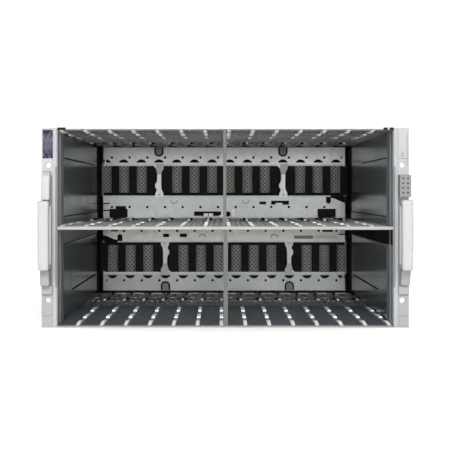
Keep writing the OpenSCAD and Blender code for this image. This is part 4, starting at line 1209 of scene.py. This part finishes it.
QX = (-0.1673, -0.05575, 0.05575, 0.1673)
FACE_MATS = [M["bezel"], M["black_and_painted_shade"], M["zinc_fine"], M["screw"], M["label"], M["lamp_green"], M["lamp_amber"], M["latch"], M["jack"], M["contact"]]
for i, cx in enumerate(QX, 1):
    # fan module
    z0, fx, fr = 0.1742, -0.009, 0.038
    cz = z0 + 0.0425
    impeller(f"fan_{i}_impeller", f"fan_{i}_rotor", f"fan_{i}_fan", cx + fx, cz, fr, 0.4 * i)
    b = Build()
    plate_hole(b, cx - 0.0526, cx + 0.0526, z0 + 0.0009, z0 + 0.0841, BACK - 0.0002, BACK + 0.0008, cx + fx, cz, 0.0392, 0, 48)
    ring_tube(b, cx + fx, cz, BACK + 0.0006, 0.0394, 0.0007, 48, 6, 2)
    for k in (0.20, 0.51, 0.82, 0.965):
        ring_tube(b, cx + fx, cz, BACK - 0.0020, fr * k, 0.0008, 44, 6, 2)
    for dx, dz in ((-0.0435, 0.0050), (0.0255, 0.0050), (-0.0435, 0.0800), (0.0255, 0.0800)):
        screw(b, (cx + dx, BACK + 0.0007, z0 + dz), 1, 0.0026, 0.0013, 1, 3)
    lamp(b, cx + 0.0355, z0 + 0.0480, BACK + 0.0007, 0.0012, 3, 5)
    plate(b, cx + 0.0308, cx + 0.0388, z0 + 0.0590, z0 + 0.0800, 0.0011, 4)
    # small vent field under the lamp
    rear_mesh(b, cx + 0.0310, cx + 0.0400, z0 + 0.0245, z0 + 0.0395, 0.003, 0.00095, BACK + 0.0008, BACK + 0.0014, 0, 1)
    sleeve(b, cx + 0.045, z0 + 0.034, z0 + 0.068, 7)
    o = b.make(f"fan_{i}_face", FACE_MATS, body=f"fan_{i}", slot="black_plastic", smooth=30)
    fix_normals(o)
    # power module
    z0, fx, fr = 0.0026, -0.021, 0.029
    cz = z0 + 0.0425
    impeller(f"psu_{i}_impeller", f"psu_{i}_rotor", f"psu_{i}_fan", cx + fx, cz, fr, 0.3 * i)
    b = Build()
    plate_hole(b, cx - 0.0526, cx + 0.0096, z0 + 0.0009, z0 + 0.0841, BACK - 0.0002, BACK + 0.0008, cx + fx, cz, 0.0303, 0, 48)
    plate(b, cx + 0.0100, cx + 0.0526, z0 + 0.0009, z0 + 0.0206, 0.0008, 0, BACK)
    plate(b, cx + 0.0100, cx + 0.0526, z0 + 0.0210, z0 + 0.0503, 0.0006, 0, BACK)
    plate(b, cx + 0.0100, cx + 0.0526, z0 + 0.0777, z0 + 0.0841, 0.0006, 0, BACK)
    plate(b, cx + 0.0402, cx + 0.0526, z0 + 0.0507, z0 + 0.0773, 0.0006, 0, BACK)
    ring_tube(b, cx + fx, cz, BACK + 0.0006, 0.0305, 0.0007, 44, 6, 2)
    for k in (0.20, 0.51, 0.82, 0.96):
        ring_tube(b, cx + fx, cz, BACK - 0.0020, fr * k, 0.0007, 40, 6, 2)
    for dx, dz in ((-0.0475, 0.0160), (0.0055, 0.0160), (-0.0475, 0.0690), (0.0055, 0.0690)):
        screw(b, (cx + dx, BACK + 0.0007, z0 + dz), 1, 0.0024, 0.0012, 1, 3)
    lamp(b, cx + 0.0150, z0 + 0.0460, BACK + 0.0005, 0.0011, 3, 5)
    lamp(b, cx + 0.0215, z0 + 0.0460, BACK + 0.0005, 0.0011, 3, 6)
    plate(b, cx + 0.0125, cx + 0.0385, z0 + 0.0230, z0 + 0.0305, 0.0009, 4)
    rear_mesh(b, cx + 0.0125, cx + 0.0395, z0 + 0.0325, z0 + 0.0415, 0.003, 0.00095, BACK + 0.0006, BACK + 0.0012, 0, 1)
    # inlet: black rim and liner, bright blades
    x0, x1, a0, a1 = cx + 0.0135, cx + 0.0375, z0 + 0.0530, z0 + 0.0750
    for lo, hi in (((x0 - 0.0022, a0 - 0.0022), (x1 + 0.0022, a0 + 0.0002)), ((x0 - 0.0022, a1 - 0.0002), (x1 + 0.0022, a1 + 0.0022)),
                   ((x0 - 0.0022, a0 + 0.0002), (x0 + 0.0002, a1 - 0.0002)), ((x1 - 0.0002, a0 + 0.0002), (x1 + 0.0022, a1 - 0.0002))):
        b.box((lo[0], BACK + 0.0013, lo[1]), (hi[0], BACK + 0.0022, hi[1]), 8)
    for lo, hi in (((x0 - 0.0002, a0 - 0.0002), (x1 + 0.0002, a0 + 0.0003)), ((x0 - 0.0002, a1 - 0.0003), (x1 + 0.0002, a1 + 0.0002)),
                   ((x0 - 0.0002, a0 + 0.0003), (x0 + 0.0003, a1 - 0.0003)), ((x1 - 0.0003, a0 + 0.0003), (x1 + 0.0002, a1 - 0.0003))):
        b.box((lo[0], BACK - 0.0160, lo[1]), (hi[0], BACK + 0.0014, hi[1]), 8)
    b.box((x0, BACK - 0.0162, a0), (x1, BACK - 0.0155, a1), 8)
    # raised island of the inlet around its blades
    b.box((x0 + 0.0035, BACK - 0.0156, a0 + 0.0035), (x1 - 0.0035, BACK - 0.0130, a1 - 0.0035), 8)
    for dx, dz in ((-0.006, -0.004), (0.006, -0.004), (0.0, 0.005)):
        mx, mz = cx + 0.0255 + dx, z0 + 0.064 + dz
        b.box((mx - 0.00115, BACK - 0.0150, mz - 0.00315), (mx + 0.00115, BACK - 0.0038, mz + 0.00315), 2)
    sleeve(b, cx + 0.045, z0 + 0.034, z0 + 0.068, 7)
    o = b.make(f"psu_{i}_face", FACE_MATS, body=f"psu_{i}", slot="black_plastic", smooth=30)
    fix_normals(o)


# ------------------------------------------------------------------ network and management modules
def jack(b, x, z, up):
    """One shielded jack in the recess: opening, contacts and two lamps; x and z are the middle."""
    w, h, y0, y1 = 0.0078, 0.0067, BACK - 0.0119, BACK - 0.0006
    ow, s = 0.0058, 1 if up else -1

    def bx(xa, xb, za, zb, ya=y0, yb=y1, m=8):
        za, zb = sorted((z + s * za, z + s * zb))
        b.box((x + xa, ya, za), (x + xb, yb, zb), m)
    bx(-w, -ow, -h, h)
    bx(ow, w, -h, h)
    bx(-ow, ow, 0.0042, h)
    for sx in (-1, 1):
        xa, xb = sorted((sx * ow, sx * 0.0031))
        bx(xa, xb, -h, -0.0028)
        xa, xb = sorted((sx * 0.0031, sx * 0.0018))
        bx(xa, xb, -h, -0.0044)
    bx(-0.0018, 0.0018, -h, -0.0058)
    bx(-ow, ow, -0.0028, 0.0042, y0, y0 + 0.0006)
    # contacts
    for q in range(8):
        cx_ = -0.00357 + 0.00102 * q
        bx(cx_ - 0.00022, cx_ + 0.00022, 0.0030, 0.0036, y0 + 0.0006, y1 - 0.0022, 9)
        bx(cx_ - 0.00022, cx_ + 0.00022, 0.0020, 0.0036, y1 - 0.0026, y1 - 0.0022, 9)
    # shield
    for xa, xb, za, zb in ((-w, w, h - 0.0005, h), (-w, w, -h, -h + 0.0005), (-w, -w + 0.0005, -h, h), (w - 0.0005, w, -h, h)):
        bx(xa, xb, za, zb, y1 - 0.0004, y1 + 0.0004, 2)
    for sx, m in ((-1, 5), (1, 6)):
        xa, xb = sorted((sx * 0.0068, sx * 0.0040))
        bx(xa, xb, -0.0060, -0.0045, y1 - 0.0004, y1 + 0.00025, m)


for kind, count, z0 in (("switch", 8, 0.1327), ("manager", 2, 0.0913)):
    for i, cx in ((1, -0.11155), (2, 0.11155)):
        b = Build()
        end = cx - 0.092 + 0.016 * count
        # thin faceplate in four pieces around the recess
        t = 0.0007
        plate(b, cx - 0.1072, cx + 0.1072, z0 + 0.0008, z0 + 0.0112, t, 0, BACK)
        plate(b, cx - 0.1072, cx - 0.0926, z0 + 0.0116, z0 + 0.0264, t, 0, BACK)
        plate(b, end + 0.0006, cx + 0.1072, z0 + 0.0116, z0 + 0.0264, t, 0, BACK)
        plate(b, cx - 0.1072, cx + 0.1072, z0 + 0.0268, z0 + 0.0372, t, 0, BACK)
        for k in range(count):
            jack(b, cx - 0.084 + 0.016 * k, z0 + 0.019, True)
        # bright rim of the recess
        for lo, hi in (((cx - 0.0926, z0 + 0.0112), (end + 0.0006, z0 + 0.0120)), ((cx - 0.0926, z0 + 0.0260), (end + 0.0006, z0 + 0.0268)),
                       ((cx - 0.0926, z0 + 0.0120), (cx - 0.0920, z0 + 0.0260)), ((end, z0 + 0.0120), (end + 0.0006, z0 + 0.0260))):
            b.box((lo[0], BACK - 0.0003, lo[1]), (hi[0], BACK + 0.0010, hi[1]), 2)
        if kind == "switch":
            rear_mesh(b, cx - 0.0900, cx + 0.0525, z0 + 0.0288, z0 + 0.0352, 0.0032, 0.00105, BACK + t, BACK + t + 0.0006, 0, 1)
            lx = cx + 0.0600
        else:
            rear_mesh(b, end + 0.0060, cx + 0.0310, z0 + 0.0128, z0 + 0.0256, 0.0032, 0.00105, BACK + t, BACK + t + 0.0006, 0, 1)
            plate(b, cx - 0.0900, cx - 0.0560, z0 + 0.0290, z0 + 0.0350, 0.0010, 4)
            lx = cx - 0.0480
        for k in range(4):
            lamp(b, lx + 0.0060 * k, z0 + 0.0320, BACK + t - 0.0001, 0.0010, 3, 5 if k != 2 else 6)
        plate(b, cx + 0.0880, cx + 0.1040, z0 + 0.0296, z0 + 0.0344, 0.0010, 4)
        for dx, dz in ((-0.1030, 0.0060), (0.1030, 0.0060), (-0.1030, 0.0320)):
            screw(b, (cx + dx, BACK + 0.0006, z0 + dz), 1, 0.0024, 0.0012, 1, 3)
        # ten small dark slots below the recess
        for k in range(10):
            b.box((cx - 0.0880 + 0.0080 * k, BACK + t - 0.0001, z0 + 0.0048), (cx - 0.0830 + 0.0080 * k, BACK + t + 0.0001, z0 + 0.0062), 1)
        o = b.make(f"{kind}_{i}_face", FACE_MATS, body=f"{kind}_{i}", slot="dark_module", smooth=30)
        fix_normals(o)

# ------------------------------------------------------------------ floor, light and camera
fl = Build()
fl.face([fl.p(-9, -7, 0), fl.p(9, -7, 0), fl.p(9, 9, 0), fl.p(-9, 9, 0)])
me = bpy.data.meshes.new("studio_floor")
me.from_pydata(fl.v, [], fl.f)
fm, nt, sh = tree("studio_floor")
fv = coords(nt)
nt.links.new(mix(nt, maprange(nt, noise(nt, fv, 3, 3), 0.3, 0.7, 0, 1), (0.92, 0.92, 0.92), (0.94, 0.94, 0.94)), sh.inputs["Base Color"])
sh.inputs["Roughness"].default_value = 0.9
sh.inputs["Specular IOR Level"].default_value = 0.1
glow = nt.nodes.new("ShaderNodeEmission")
glow.inputs[1].default_value = 1.02
far = nt.nodes.new("ShaderNodeMixShader")
ln = nt.nodes.new("ShaderNodeVectorMath")
ln.operation = "LENGTH"
nt.links.new(fv, ln.inputs[0])
nt.links.new(maprange(nt, ln.outputs["Value"], 0.75, 1.9, 0, 1), far.inputs[0])
nt.links.new(sh.outputs[0], far.inputs[1])
nt.links.new(glow.outputs[0], far.inputs[2])
nt.links.new(far.outputs[0], [n for n in nt.nodes if n.type == "OUTPUT_MATERIAL"][0].inputs[0])
me.materials.append(fm)
floor = bpy.data.objects.new("studio_floor", me)
scene.collection.objects.link(floor)

w = bpy.data.worlds.new("studio")
w.use_nodes = True
wt = w.node_tree
bg = wt.nodes["Background"]
bg.inputs[0].default_value = (1.0, 1.0, 1.0, 1)
lp = wt.nodes.new("ShaderNodeLightPath")
seen = wt.nodes.new("ShaderNodeMapRange")
seen.inputs["To Min"].default_value = 0.38
seen.inputs["To Max"].default_value = 1.05
wt.links.new(lp.outputs["Is Camera Ray"], seen.inputs["Value"])
wt.links.new(seen.outputs[0], bg.inputs[1])
scene.world = w


def area(name, loc, target, size, power, color=(1, 1, 1)):
    d = bpy.data.lights.new(name, "AREA")
    d.shape = "RECTANGLE"
    d.size, d.size_y = size
    d.energy = power
    d.color = color
    o = bpy.data.objects.new(name, d)
    o.location = loc
    o.rotation_euler = (Vector(target) - Vector(loc)).to_track_quat("-Z", "Y").to_euler()
    o.visible_camera = False
    scene.collection.objects.link(o)
    return o


area("front_low", (0.0, -7.0, 0.36), (0, 0, 0.13), (1.6, 0.6), 235)
area("front_high", (0.0, -3.25, 1.42), (0, -0.35, 0.05), (1.8, 0.7), 120)
area("left_soft", (-3.0, -0.2, 1.7), (0, 0, 0.1), (2.2, 1.6), 60)
area("right_soft", (3.0, 0.2, 1.7), (0, 0, 0.1), (2.2, 1.6), 60)
area("rear_soft", (0.4, 3.4, 1.3), (0, 0.3, 0.1), (2.0, 1.4), 95)

cam = bpy.data.cameras.new("camera")
cam.sensor_width = 36.0
cam.lens = 100.2
cam.shift_x = 6.5 / 455
cam.shift_y = -33.5 / 455
cam.clip_start = 0.01
cam.clip_end = 50
co = bpy.data.objects.new("camera", cam)
co.location = (-0.00565, FRONT - 1.6645, 0.1755)
co.rotation_euler = (math.pi / 2, 0, 0)
scene.collection.objects.link(co)
scene.camera = co
scene.view_settings.view_transform = "Standard"
scene.view_settings.look = "None"
